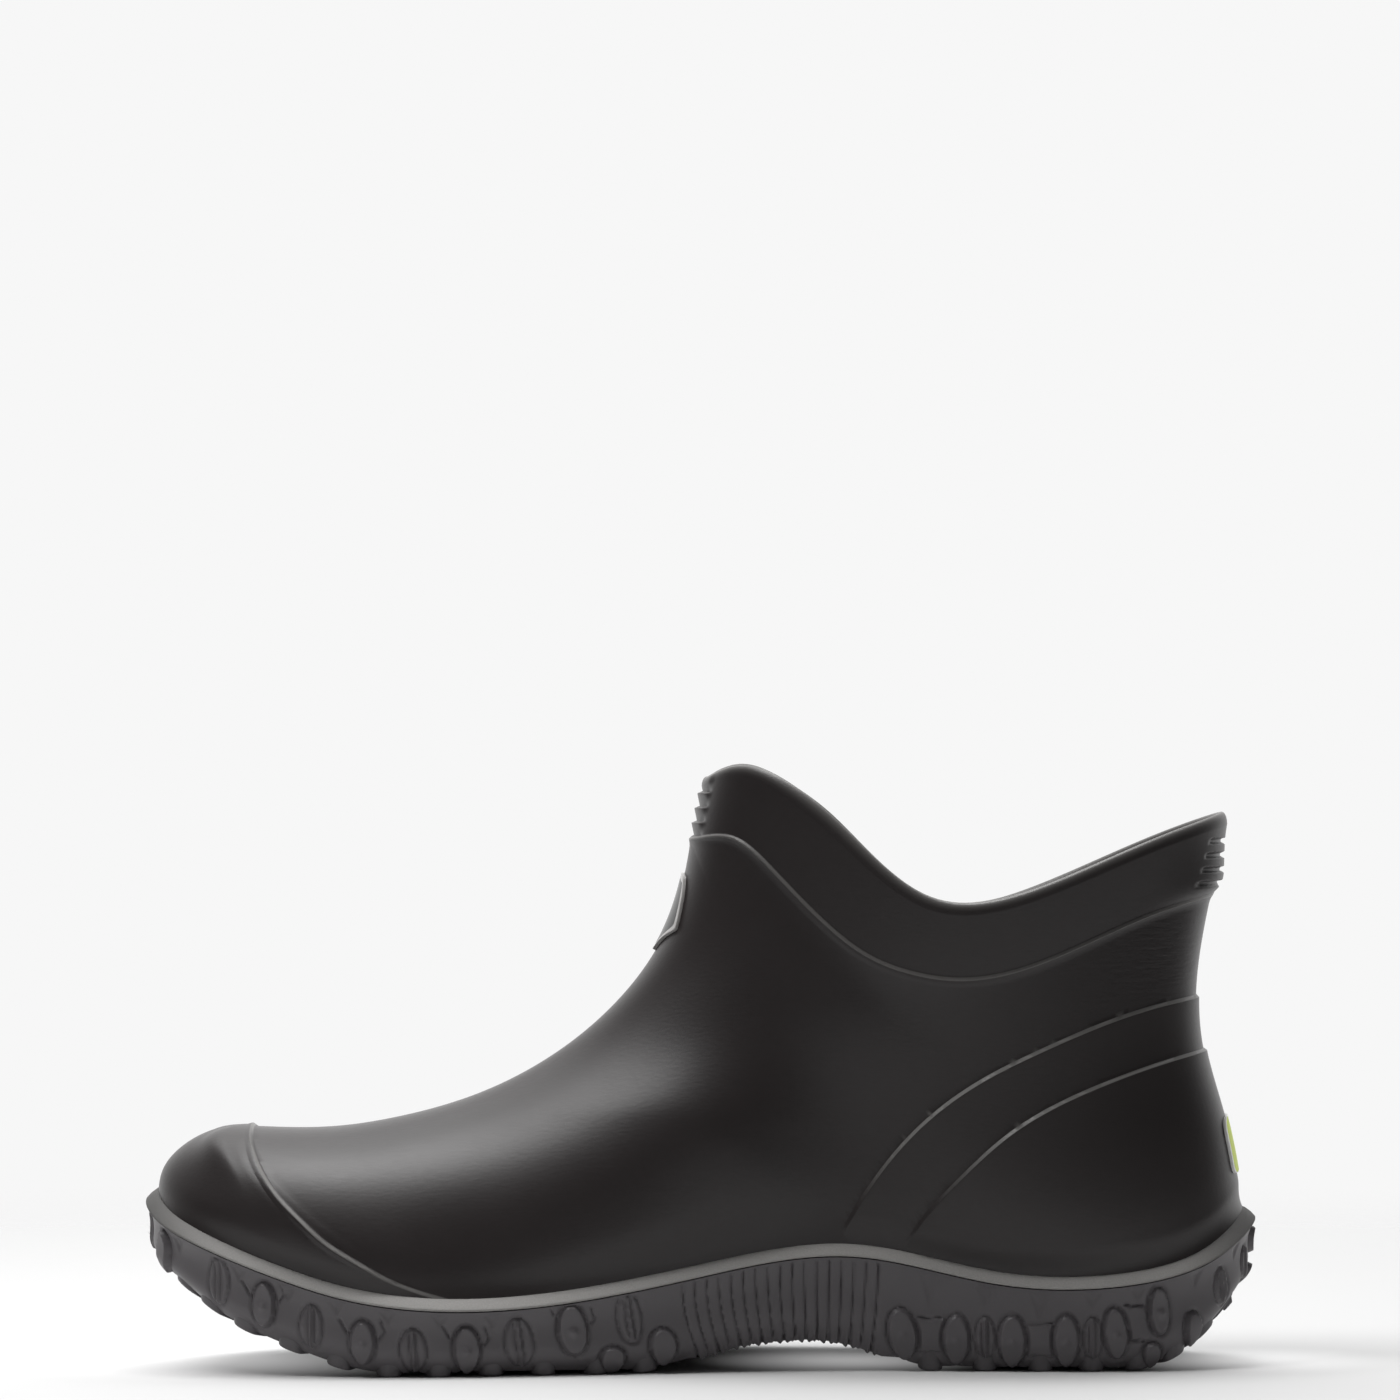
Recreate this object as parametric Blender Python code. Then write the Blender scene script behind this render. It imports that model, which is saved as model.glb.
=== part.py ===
"""Rubber ankle boot for the right foot, standing empty on its sole.

Lengths in the tables are millimetres, and the meshes are metres, +Z up.  The toe points to -X,
the heel to +X, and the inner side of the foot faces -Y.  The origin is on the floor, under the
middle of the boot's length and width.
"""
import math
from collections import namedtuple

import bmesh
import bpy
import numpy as np

MM = 0.001
INNER = -1
OUTER = 1
SIDES = (INNER, OUTER)

# Sizes shared by the pieces, in millimetres
SEAT_GAP = 0.3
WALL = 3.0
WELT_REACH = 3.4
WELT_HEIGHT = 3.4
WELT_LIP = 2.6
RIM_WIDTH = 6.4
CUP_DRAFT = 1.0
INSOLE_THICK = 4.0
INSOLE_INSET = 8.6
INSOLE_COLUMNS = 24
INSOLE_CELLS = 2
UNDER_CELLS = 3
FLOOR_CELLS = 2
LUG_DEPTH = 3.2
LUG_SINK = 1.2
LUG_FADE = 4.0
ARCH_HALF_WIDTH = 40.0

# Heights of the overlays that stand proud of the upper's wall
CAP_STEP = 0.8
CUFF_STEP = 0.9
COUNTER_STEP = 0.7
STEP_RUN = 1.1
SCORE_SNAP = 0.12
GROOVE_DEPTH = 0.8
RIB_HALF = 0.9

# How finely the solids are cut
COLUMNS = 42
WALL_ROWS = 10
CUFF_ROWS = (0.0, 0.05, 0.36, 0.68, 1.0)
INNER_ROWS = 6

# Shares of the way from toe tip to heel back along the welt, where the columns of the upper change
CAP_SHARE = 0.297
CUFF_SHARE = 0.62

# Outer top line of the welt, from the toe tip along the inner side to the heel and back
Edge = namedtuple("Edge", "place x y z")
WELT_EDGE = (
    Edge("toe tip", -150.0, -14.0, 47.8),
    Edge("inner toe corner", -138.0, -40.0, 42.3),
    Edge("inner toe side", -112.0, -51.0, 28.5),
    Edge("inner ball", -78.0, -54.9, 21.0),
    Edge("behind inner ball", -40.0, -49.0, 22.6),
    Edge("inner waist front", 0.0, -40.5, 29.2),
    Edge("inner waist", 40.0, -36.0, 34.4),
    Edge("inner heel front", 78.0, -37.0, 26.4),
    Edge("inner heel", 108.0, -37.5, 25.8),
    Edge("inner heel corner", 136.0, -28.0, 32.7),
    Edge("heel back", 150.0, 0.0, 41.8),
    Edge("outer heel corner", 136.0, 28.5, 32.5),
    Edge("outer heel", 108.0, 40.0, 25.8),
    Edge("outer heel front", 75.0, 42.0, 27.0),
    Edge("outer waist", 30.0, 46.5, 30.5),
    Edge("outer midfoot", -15.0, 53.0, 25.5),
    Edge("outer ball", -50.0, 54.5, 21.5),
    Edge("outer toe side", -90.0, 46.0, 24.0),
    Edge("outer toe corner", -126.0, 27.0, 36.5),
    Edge("outer tip", -144.0, 6.0, 46.0),
)

# Ridge of the upper, from the top of the toe along the vamp and instep to the front of the cuff
Ridge = namedtuple("Ridge", "x y z")
RIDGE = (
    Ridge(-122.9, -11.0, 64.6),
    Ridge(-100.0, -9.8, 64.3),
    Ridge(-82.0, -8.8, 67.0),
    Ridge(-62.0, -7.6, 72.8),
    Ridge(-41.4, -6.4, 83.2),
    Ridge(-24.0, -4.8, 98.0),
    Ridge(-12.5, -3.5, 114.0),
    Ridge(-6.1, -2.5, 130.4),
    Ridge(-3.2, -2.0, 141.5),
)

# Cross sections of the upper by their share along the welt: how square each side is, how far the
# section sweeps back low down, how round the toe is in profile, how far the section fans forward
# near the top of the toe, and which bow its wall takes
Section = namedtuple("Section", "share inner_round outer_round sweep dome fan side_bow back_bow")
SECTIONS = (
    Section(0.00, 2.10, 2.10, 1.20, 1.0, 0.0, 0.0, 0.0),
    Section(0.07, 2.15, 2.10, 1.35, 0.7, 8.0, 0.2, 0.0),
    Section(0.14, 2.20, 2.10, 1.40, 0.0, 19.0, 0.4, 0.0),
    Section(0.22, 2.30, 2.10, 1.40, 0.0, 11.0, 0.8, 0.0),
    Section(0.30, 2.35, 2.10, 1.40, 0.0, 0.0, 1.0, 0.0),
    Section(0.46, 2.25, 2.00, 1.15, 0.0, 0.0, 1.0, 0.0),
    Section(0.62, 2.10, 2.00, 1.00, 0.0, 0.0, 1.0, 0.0),
    Section(0.72, 1.70, 1.70, 1.00, 0.0, 0.0, 1.0, 0.0),
    Section(0.86, 1.20, 1.20, 1.00, 0.0, 0.0, 0.6, 0.4),
    Section(1.00, 1.00, 1.00, 1.00, 0.0, 0.0, 0.0, 1.0),
)
FAN_POWER = 4

# Bow of the wall between welt and cuff, outward positive, by the share of the rise
Bow = namedtuple("Bow", "rise side back")
BOWS = (
    Bow(0.00, 0.0, 0.0),
    Bow(0.05, 0.2, -0.8),
    Bow(0.14, 1.3, -1.6),
    Bow(0.30, 1.8, -3.2),
    Bow(0.50, 0.4, -6.6),
    Bow(0.65, -1.0, -6.9),
    Bow(0.84, -1.2, -3.9),
    Bow(1.00, 0.0, 0.0),
)

# Cuff seam and rim along the shaft, from front to back
Shaft = namedtuple("Shaft", "share cuff rim outer_dip")
SHAFT = (
    Shaft(0.00, 141.5, 158.6, 0.0),
    Shaft(0.03, 142.3, 160.8, 0.0),
    Shaft(0.08, 142.2, 161.8, 0.1),
    Shaft(0.16, 133.0, 157.4, 0.6),
    Shaft(0.24, 121.5, 148.2, 1.2),
    Shaft(0.32, 112.3, 138.4, 1.8),
    Shaft(0.42, 106.5, 128.6, 2.6),
    Shaft(0.52, 104.9, 125.6, 3.0),
    Shaft(0.64, 108.2, 129.4, 3.0),
    Shaft(0.78, 116.3, 137.4, 2.4),
    Shaft(0.90, 123.0, 144.3, 1.2),
    Shaft(1.00, 126.6, 148.6, 0.0),
)

# Plan of the shaft at the cuff seam and at the rim
Oval = namedtuple("Oval", "front back half_width")
CUFF_OVAL = Oval(-3.2, 138.0, 42.5)
RIM_OVAL = Oval(0.2, 142.0, 45.5)
OVAL_POWER = 0.95

# Upper and lower lines of the heel counter, in the side view
Line = namedtuple("Line", "x z")
COUNTER_HIGH = (
    Line(30.0, 22.0),
    Line(36.9, 37.2),
    Line(45.4, 51.4),
    Line(65.9, 72.8),
    Line(89.7, 86.1),
    Line(117.5, 96.6),
    Line(136.0, 100.0),
    Line(150.0, 101.0),
)
COUNTER_LOW = (
    Line(47.0, 22.0),
    Line(55.0, 36.2),
    Line(67.8, 51.5),
    Line(79.2, 62.2),
    Line(92.6, 70.9),
    Line(108.8, 77.9),
    Line(136.0, 85.2),
    Line(150.0, 86.5),
)

# Grooves across the front and back of the cuff, by height
FRONT_GROOVES = (142.4, 146.3, 150.3, 154.3, 158.3)
BACK_GROOVES = (130.0, 134.0, 137.8, 141.6)
FRONT_GROOVE_LIMIT = 6.0
BACK_GROOVE_LIMIT = 133.0

# Lowest line of the sole along its length, at the tips of the lugs
Sole = namedtuple("Sole", "x tip floor")
SOLE = (
    Sole(-150.0, 32.0, 36.0),
    Sole(-146.0, 28.0, 32.5),
    Sole(-140.0, 22.0, 28.0),
    Sole(-128.0, 13.2, 22.0),
    Sole(-116.0, 7.4, 18.0),
    Sole(-104.0, 3.0, 15.0),
    Sole(-92.0, 0.0, 13.0),
    Sole(-84.0, 0.0, 12.2),
    Sole(-68.0, 0.0, 11.5),
    Sole(-30.0, 0.0, 13.5),
    Sole(10.0, 0.0, 19.0),
    Sole(40.0, 0.0, 21.5),
    Sole(80.0, 0.0, 19.5),
    Sole(116.0, 0.0, 18.5),
    Sole(124.0, 0.5, 18.6),
    Sole(132.0, 4.0, 19.0),
    Sole(140.0, 10.0, 20.0),
    Sole(150.0, 21.0, 25.0),
)

# Rise of the arch under the waist, on each side
Arch = namedtuple("Arch", "x inner outer")
ARCH = (
    Arch(-18.0, 0.0, 0.0),
    Arch(-8.0, 1.6, 0.8),
    Arch(8.0, 6.4, 3.8),
    Arch(20.0, 8.2, 5.2),
    Arch(31.0, 8.4, 5.4),
    Arch(42.0, 6.2, 4.0),
    Arch(52.0, 2.4, 1.4),
    Arch(60.0, 0.0, 0.0),
)

# Side wall of the sole, from its rim down: share of the way down and distance inside the welt
Wall = namedtuple("Wall", "share inset")
SIDE_WALL = (
    Wall(0.00, 0.6),
    Wall(0.20, 1.7),
    Wall(0.55, 2.0),
    Wall(0.84, 3.0),
    Wall(1.00, 5.6),
)

# Raised pods and their lugs round the edge of the sole
POD_PITCH = 14.4
POD_HALF_WIDTH = 4.1
POD_HALF_HEIGHT = 7.2
POD_PROUD = 1.7
POD_SINK = 1.0
POD_TAPER = 0.72
POD_SIDES = 8
POD_RISE = 8.5
POD_HIGHEST = 0.3
POD_LOWEST = 0.75
POD_REACH = 0.15
FORE_RUN = (0.0, 0.493)
HEEL_RUN = (0.652, 1.0)

# Upright ribs of the waist
RIB_RUN = (0.501, 0.637)
RIB_COUNT = 15
RIB_WIDTH = 1.7
RIB_PROUD = 0.9
RIB_TAPER = 0.6
RIB_SWEEP = 0.010
RIB_STOPS = (0.10, 0.60, 0.97)

# Lugs under the sole
EDGE_LUG_IN = 13.0
EDGE_LUG_HALF_LENGTH = 6.6
EDGE_LUG_HALF_WIDTH = 4.2
MIDDLE_LUG_HALF_LENGTH = 8.6
MIDDLE_LUG_HALF_WIDTH = 4.6
LUG_TAPER = 0.86
LUG_SIDES = 6
LUG_SQUARE = 0.6
MIDDLE_LUG_IN = 22.0
MIDDLE_LUG_PITCH = 22.0
Rows = namedtuple("Rows", "first last count")
MIDDLE_LUGS = (
    Rows(0.13, 0.44, 7),
    Rows(0.72, 0.88, 4),
)

# Blank plaques on the front of the shaft and the back of the heel
BADGE_LOW = 110.0
BADGE_HIGH = 133.0
BADGE_HALF_WIDTH = 13.0
BADGE_THICK = 1.2
BADGE_SEAT = 0.6
PATCH_LOW = 0.17
PATCH_HIGH = 0.335
PATCH_HALF_WIDTH = 14.0
PATCH_THICK = 1.0
PLAQUE_POWER = 5.0
PLAQUE_REACH = 0.985
PLAQUE_ROWS = 7
PLAQUE_CROWD = 0.94
PLAQUE_HALF_CELLS = 3
FINE_STEPS = 120

# Finish of each piece: colour, roughness
Finish = namedtuple("Finish", "colour roughness")
SHARP_ANGLE = 32
FINISHES = {
    "upper": Finish((0.018, 0.017, 0.017), 0.38),
    "welt": Finish((0.045, 0.044, 0.043), 0.62),
    "outsole": Finish((0.030, 0.029, 0.031), 0.60),
    "insole": Finish((0.040, 0.040, 0.042), 0.90),
    "front_badge": Finish((0.020, 0.020, 0.020), 0.30),
    "heel_patch": Finish((0.36, 0.60, 0.10), 0.55),
}


def columns(rows, *names):
    """The named columns of a table, as an array with a line for each row."""
    return np.array([[getattr(row, name) for name in names] for row in rows])


class Curve:
    """A smooth curve through points, open or closed, read at a distance along its knots."""

    def __init__(self, points, knots=None, closed=False):
        points = np.asarray(points, float)
        if closed:
            points = np.vstack([points, points[:1]])
        if knots is None:
            steps = np.linalg.norm(np.diff(points, axis=0), axis=1)
            knots = np.concatenate([[0.0], np.cumsum(steps)])
        self.points = points
        self.knots = np.asarray(knots, float)
        self.closed = closed
        self.slopes = self.find_slopes()

    def find_slopes(self):
        """Slopes at the knots that keep the bend of the curve unbroken."""
        gaps = np.diff(self.knots)
        rates = np.diff(self.points, axis=0) / gaps[:, None]
        count = len(self.knots)
        matrix = np.zeros((count, count))
        wanted = np.zeros_like(self.points)
        for i in range(1, count - 1):
            matrix[i, i - 1:i + 2] = gaps[i], 2 * (gaps[i - 1] + gaps[i]), gaps[i - 1]
            wanted[i] = 3 * (gaps[i] * rates[i - 1] + gaps[i - 1] * rates[i])
        if self.closed:
            matrix[0, [-2, 0, 1]] = gaps[0], 2 * (gaps[-1] + gaps[0]), gaps[-1]
            wanted[0] = 3 * (gaps[0] * rates[-1] + gaps[-1] * rates[0])
            matrix[-1, [0, -1]] = 1, -1
        else:
            matrix[0, :2] = 2, 1
            wanted[0] = 3 * rates[0]
            matrix[-1, -2:] = 1, 2
            wanted[-1] = 3 * rates[-1]
        return np.linalg.solve(matrix, wanted)

    def at(self, where):
        where = np.atleast_1d(np.asarray(where, float))
        if self.closed:
            where = np.mod(where, self.knots[-1])
        else:
            where = np.clip(where, self.knots[0], self.knots[-1])
        i = np.clip(np.searchsorted(self.knots, where, side="right") - 1, 0, len(self.knots) - 2)
        gap = (self.knots[i + 1] - self.knots[i])[:, None]
        t = (where - self.knots[i])[:, None] / gap
        start = (1 + 2 * t) * (1 - t) ** 2 * self.points[i] + t * (1 - t) ** 2 * gap * self.slopes[i]
        end = t * t * (3 - 2 * t) * self.points[i + 1] - t * t * (1 - t) * gap * self.slopes[i + 1]
        return start + end


def lookup(rows, key, *names):
    """A smooth curve of some columns of a table over its key column."""
    return Curve(columns(rows, *names), knots=columns(rows, key)[:, 0])


WELT_LINE = Curve(columns(WELT_EDGE, "x", "y", "z"), closed=True)
HEEL_AT = WELT_LINE.knots[[row.place for row in WELT_EDGE].index("heel back")]
ROUND_AT = WELT_LINE.knots[-1]
RIDGE_LINE = Curve(columns(RIDGE, "x", "y", "z"))
SECTION_AT = lookup(SECTIONS, "share", *Section._fields[1:])
BOW_AT = lookup(BOWS, "rise", "side", "back")
SHAFT_AT = lookup(SHAFT, "share", "cuff", "rim", "outer_dip")
SOLE_AT = lookup(SOLE, "x", "tip", "floor")
ARCH_AT = lookup(ARCH, "x", "inner", "outer")
HIGH_AT = lookup(COUNTER_HIGH, "x", "z")
LOW_AT = lookup(COUNTER_LOW, "x", "z")


def way_round(side, share):
    """Distance along the welt of a share of the way from toe tip to heel back on one side."""
    share = np.atleast_1d(np.asarray(share, float))
    if side == INNER:
        return share * HEEL_AT
    return ROUND_AT - share * (ROUND_AT - HEEL_AT)


def outward(side, share):
    """Level direction out of the boot, square to the welt."""
    distance = way_round(side, share)
    along = WELT_LINE.at(distance + 0.5) - WELT_LINE.at(distance - 0.5)
    across = np.stack([along[:, 1], -along[:, 0]], axis=1)
    return across / np.linalg.norm(across, axis=1)[:, None]


def welt_point(side, share, inset=0.0, drop=0.0):
    """Points of the welt's outer top line, moved in towards the foot and down."""
    points = WELT_LINE.at(way_round(side, share)).copy()
    points[:, :2] -= outward(side, share) * np.atleast_1d(inset)[:, None]
    points[:, 2] -= drop
    return points


def shaft_ring(side, turn, height):
    """Points round the shaft: turn 0 is its front, pi its back; height 0 is the cuff seam, 1 the rim."""
    along = (1 - np.cos(turn)) / 2
    cuff, rim, dip = SHAFT_AT.at(along).T
    if side == OUTER:
        cuff, rim = cuff - dip, rim - dip
    front, back, half = (a + (b - a) * height for a, b in zip(CUFF_OVAL, RIM_OVAL))
    x = front + (back - front) * along
    middle = RIDGE[-1].y * (1 - along)
    y = middle + side * half * np.sin(turn).clip(0) ** OVAL_POWER
    return np.stack([x, y, cuff + (rim - cuff) * height], axis=1)


def shaft_turn(share):
    """Turn round the shaft of the column at a share along the welt."""
    return math.pi * np.clip((share - CUFF_SHARE) / (1 - CUFF_SHARE), 0, 1)


def column_top(side, share):
    """Upper end of each column: the toe top, the ridge, or the cuff seam."""
    up = np.clip((share - CAP_SHARE) / (CUFF_SHARE - CAP_SHARE), 0, 1)
    ridge = RIDGE_LINE.at(up * RIDGE_LINE.knots[-1])
    seam = shaft_ring(side, shaft_turn(share), 0.0)
    return np.where((share > CUFF_SHARE)[:, None], seam, ridge)


def upper_wall(side, share, height):
    """Outer face of one side of the upper: a column for each share, a row for each height."""
    foot = welt_point(side, share, WELT_REACH)
    top = column_top(side, share)
    section = dict(zip(Section._fields[1:], SECTION_AT.at(share).T[:, :, None]))
    power = 2 / section["inner_round" if side == INNER else "outer_round"]
    angle = np.asarray(height)[None, :] * math.pi / 2
    rise = np.sin(angle) ** power
    close = np.cos(angle).clip(0) ** power
    dome = section["dome"].clip(0, 1)
    lean = dome * close + (1 - dome) * (1 - rise).clip(0) ** section["sweep"]
    fan = np.where(share < CAP_SHARE, section["fan"][:, 0], 0)[:, None] * close * rise ** FAN_POWER
    bows = BOW_AT.at(rise.ravel())
    side_bow, back_bow = bows.T.reshape(2, *rise.shape)
    bow = section["side_bow"] * side_bow + section["back_bow"] * back_bow
    out = outward(side, share)
    x = top[:, :1] + (foot - top)[:, :1] * lean + out[:, :1] * bow - fan
    y = top[:, 1:2] + (foot - top)[:, 1:2] * close + out[:, 1:] * bow
    z = foot[:, 2:] + (top - foot)[:, 2:] * rise
    return np.stack([x, y, z], axis=2)


def sole_under(x, y, lugs=True):
    """Height of the sole's underside, at the tips of its lugs or between them."""
    tip = SOLE_AT.at(x)[:, 0]
    inner, outer = ARCH_AT.at(x).T
    lean = np.clip((y + ARCH_HALF_WIDTH) / (2 * ARCH_HALF_WIDTH), 0, 1)
    arch = inner + (outer - inner) * lean
    lug = LUG_DEPTH * np.clip(1 - np.maximum(inner, outer) / LUG_FADE, 0, 1)
    return np.maximum(tip, arch) + (0 if lugs else lug)


def between_lugs(x, y):
    """Height of the sole's underside between its lugs."""
    return sole_under(x, y, lugs=False)


def cup_floor(x, y):
    """Height of the floor inside the sole."""
    return SOLE_AT.at(x)[:, 1]


def bed_top(x, y):
    """Height of the insole's upper face."""
    return cup_floor(x, y) + SEAT_GAP + INSOLE_THICK


def bed_under(x, y):
    """Height of the insole's lower face, just off the floor."""
    return cup_floor(x, y) + SEAT_GAP


def side_wall(side, share, down):
    """Points of the sole's side wall, each a share of the way down from its rim."""
    share = np.atleast_1d(share)
    insets = lookup(SIDE_WALL, "share", "inset").at(down)[:, 0] * np.ones(len(share))
    rim = welt_point(side, share, SIDE_WALL[0].inset, WELT_HEIGHT)
    foot = welt_point(side, share, SIDE_WALL[-1].inset, WELT_HEIGHT)
    under = between_lugs(foot[:, 0], foot[:, 1])
    points = welt_point(side, share, insets)
    points[:, 2] = rim[:, 2] + (under - rim[:, 2]) * down
    return points


def finish(name, mesh):
    """An object of the mesh, with its own material."""
    material = bpy.data.materials.new(name)
    material.use_nodes = True
    shader = material.node_tree.nodes["Principled BSDF"]
    shader.inputs["Base Color"].default_value = (*FINISHES[name].colour, 1.0)
    shader.inputs["Roughness"].default_value = FINISHES[name].roughness
    shader.inputs["Metallic"].default_value = 0.0
    mesh.materials.append(material)
    mesh.shade_smooth()
    mesh.set_sharp_from_angle(angle=math.radians(SHARP_ANGLE))
    piece = bpy.data.objects.new(name, mesh)
    bpy.context.collection.objects.link(piece)
    return piece


def to_mesh(name, bm):
    """The bmesh, in millimetres, as a mesh in metres with its faces pointing out."""
    bmesh.ops.remove_doubles(bm, verts=bm.verts, dist=0.01)
    bmesh.ops.recalc_face_normals(bm, faces=bm.faces)
    bmesh.ops.scale(bm, vec=(MM, MM, MM), verts=bm.verts)
    mesh = bpy.data.meshes.new(name)
    bm.to_mesh(mesh)
    bm.free()
    return mesh


def add_grid(bm, points):
    """Vertices of a grid of points, and the faces between them where they have any area."""
    grid = [[bm.verts.new(p) for p in line] for line in points]
    for line, after in zip(grid, grid[1:]):
        for a, b, c, d in zip(line, line[1:], after[1:], after):
            bm.faces.new((a, d, c, b))
    return grid


def column_shares():
    """Shares of the columns, with a close pair at the seam of the toe cap."""
    seam = CAP_SHARE + STEP_RUN / HEEL_AT
    parts = (
        np.linspace(0.0, CAP_SHARE, round(COLUMNS * CAP_SHARE)),
        np.linspace(seam, CUFF_SHARE, round(COLUMNS * (CUFF_SHARE - CAP_SHARE))),
        np.linspace(CUFF_SHARE, 1.0, round(COLUMNS * (1 - CUFF_SHARE)) + 1)[1:],
    )
    return np.concatenate(parts)


def upper_skin(bm, share, heights, cuff_heights):
    """Plain skin of the upper from its foot to the rim, welded along ridge, toe and heel."""
    loose = bm.verts.layers.float.new("loose")
    proud = bm.verts.layers.float.new("proud")
    on_shaft = share >= CUFF_SHARE - 1e-9
    for side in SIDES:
        foot = welt_point(side, share, WELT_REACH, WELT_HEIGHT - SEAT_GAP)
        wall = upper_wall(side, share, heights)
        grid = add_grid(bm, np.concatenate([foot[:, None], wall], axis=1))
        for where, line in zip(share, grid):
            for vert in line[2:]:
                vert[loose] = 1.0
                vert[proud] = CAP_STEP if where <= CAP_SHARE else 0.0
        turn = shaft_turn(share[on_shaft])
        cuff = add_grid(bm, np.stack([shaft_ring(side, turn, h) for h in cuff_heights], axis=1))
        for line in cuff:
            line[0][loose] = 1.0
            for vert in line[1:]:
                vert[loose] = 1.0
                vert[proud] = CUFF_STEP
    bmesh.ops.remove_doubles(bm, verts=bm.verts, dist=0.02)
    bmesh.ops.recalc_face_normals(bm, faces=bm.faces)
    bm.normal_update()


def counter_high(co):
    """Drop of a point below the upper line of the heel counter."""
    return HIGH_AT.at(co.x)[0, 0] - co.z


def counter_low(co):
    """Drop of a point below the lower line of the heel counter."""
    return LOW_AT.at(co.x)[0, 0] - co.z


def height(co):
    return co.z


def at_cuff_front(co):
    return co.x < FRONT_GROOVE_LIMIT and co.z > FRONT_GROOVES[0] - 2 * RIB_HALF


def at_cuff_back(co):
    return co.x > BACK_GROOVE_LIMIT and co.z > BACK_GROOVES[0] - 2 * RIB_HALF


def everywhere(co):
    return True


def score(bm, field, level, reach=everywhere):
    """Cut the faces along a level line of a field, so that a step there has a clean edge."""
    marked = {v for v in bm.verts if abs(field(v.co) - level) < SCORE_SNAP and reach(v.co)}
    for edge in list(bm.edges):
        start, end = edge.verts
        if edge.is_boundary or start in marked or end in marked:
            continue
        a = field(start.co) - level
        b = field(end.co) - level
        if a * b < 0 and reach(start.co) and reach(end.co):
            marked.add(bmesh.utils.edge_split(edge, start, a / (a - b))[1])
    for face in list(bm.faces):
        on_line = [v for v in face.verts if v in marked]
        if len(on_line) == 2 and not bm.edges.get(on_line):
            bmesh.utils.face_split(face, on_line[0], on_line[1])


def wall_step(co):
    """How far the heel counter and the grooves of the cuff move the outer face at a point."""
    step = 0.0
    for field in (counter_high, counter_low):
        step += COUNTER_STEP * min(max(field(co) / STEP_RUN, 0.0), 1.0)
    for grooves, reach in ((FRONT_GROOVES, at_cuff_front), (BACK_GROOVES, at_cuff_back)):
        if reach(co):
            step -= GROOVE_DEPTH * max(0.0, max(1 - abs(co.z - z) / RIB_HALF for z in grooves))
    return step


def build_upper():
    """Hollow rubber upper, open at the collar and underneath, with cap, counter and cuff as steps."""
    share = column_shares()
    heights = np.linspace(0, 1, WALL_ROWS + 1)
    bm = bmesh.new()
    upper_skin(bm, share, heights, CUFF_ROWS)
    for field in (counter_high, counter_low):
        for level in (0.0, STEP_RUN):
            score(bm, field, level)
    for grooves, reach in ((FRONT_GROOVES, at_cuff_front), (BACK_GROOVES, at_cuff_back)):
        for middle in grooves:
            for level in (middle - RIB_HALF, middle, middle + RIB_HALF):
                score(bm, height, level, reach)
    bm.normal_update()
    loose = bm.verts.layers.float["loose"]
    proud = bm.verts.layers.float["proud"]
    moves = [(v, v.normal * (v[proud] + v[loose] * wall_step(v.co))) for v in bm.verts]
    for vert, move in moves:
        vert.co += move

    lining = bmesh.new()
    upper_skin(lining, share, np.linspace(0, 1, INNER_ROWS + 1), CUFF_ROWS[::2])
    moves = [(v, v.normal * -WALL) for v in lining.verts]
    for vert, move in moves:
        if vert.is_boundary:
            move.z = 0.0
        vert.co += move
    bmesh.ops.reverse_faces(lining, faces=lining.faces)
    inside = bpy.data.meshes.new("upper_inside")
    lining.to_mesh(inside)
    lining.free()
    bm.from_mesh(inside)
    bpy.data.meshes.remove(inside)

    open_edges = [e for e in bm.edges if e.is_boundary]
    split = SHAFT[0].cuff / 2
    for edges in ([e for e in open_edges if e.verts[0].co.z < split],
                  [e for e in open_edges if e.verts[0].co.z > split]):
        bmesh.ops.bridge_loops(bm, edges=edges)
    return bm


def build_welt():
    """Bevelled band round the foot of the upper, lying on the rim of the sole."""
    share = column_shares()
    low = WELT_HEIGHT - SEAT_GAP
    inside = WELT_REACH - SEAT_GAP
    bm = bmesh.new()
    for side in SIDES:
        ring = [welt_point(side, share, 0.0, low),
                welt_point(side, share, 0.0, WELT_LIP),
                welt_point(side, share, inside, 0.0),
                welt_point(side, share, inside, low)]
        add_grid(bm, np.stack(ring + ring[:1], axis=1))
    return bm


def strip_across(share, inset, height_at, cells):
    """Grid across the boot between its two sides, with heights from a function of x and y."""
    inner = welt_point(INNER, share, inset)
    outer = welt_point(OUTER, share, inset)
    way = np.linspace(0, 1, cells + 1)[None, :, None]
    grid = inner[:, None] + (outer - inner)[:, None] * way
    flat = grid.reshape(-1, 3)
    flat[:, 2] = height_at(flat[:, 0], flat[:, 1])
    return flat.reshape(grid.shape)


def build_insole():
    """Footbed lying in the cup of the sole."""
    share = np.linspace(0, 1, INSOLE_COLUMNS)
    bm = bmesh.new()
    edges = []
    for level in (bed_under, bed_top):
        edges.append(strip_across(share, INSOLE_INSET, level, INSOLE_CELLS))
        add_grid(bm, edges[-1])
    for column in (0, -1):
        add_grid(bm, np.stack([edge[:, column] for edge in edges], axis=1))
    return bm


def pod_shares(run):
    """Shares of the pods along one run of the sole's edge, evenly pitched."""
    first, last = run
    count = round((last - first) * HEEL_AT / POD_PITCH)
    return first + (np.arange(count) + 0.5) / count * (last - first)


def add_prism(bm, rings):
    """Closed solid between rings of points, each with the same number."""
    loops = [[bm.verts.new(p) for p in ring] for ring in rings]
    for loop, after in zip(loops, loops[1:]):
        for i in range(len(loop)):
            bm.faces.new((loop[i - 1], loop[i], after[i], after[i - 1]))
    bm.faces.new(loops[0])
    bm.faces.new(loops[-1])


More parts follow.
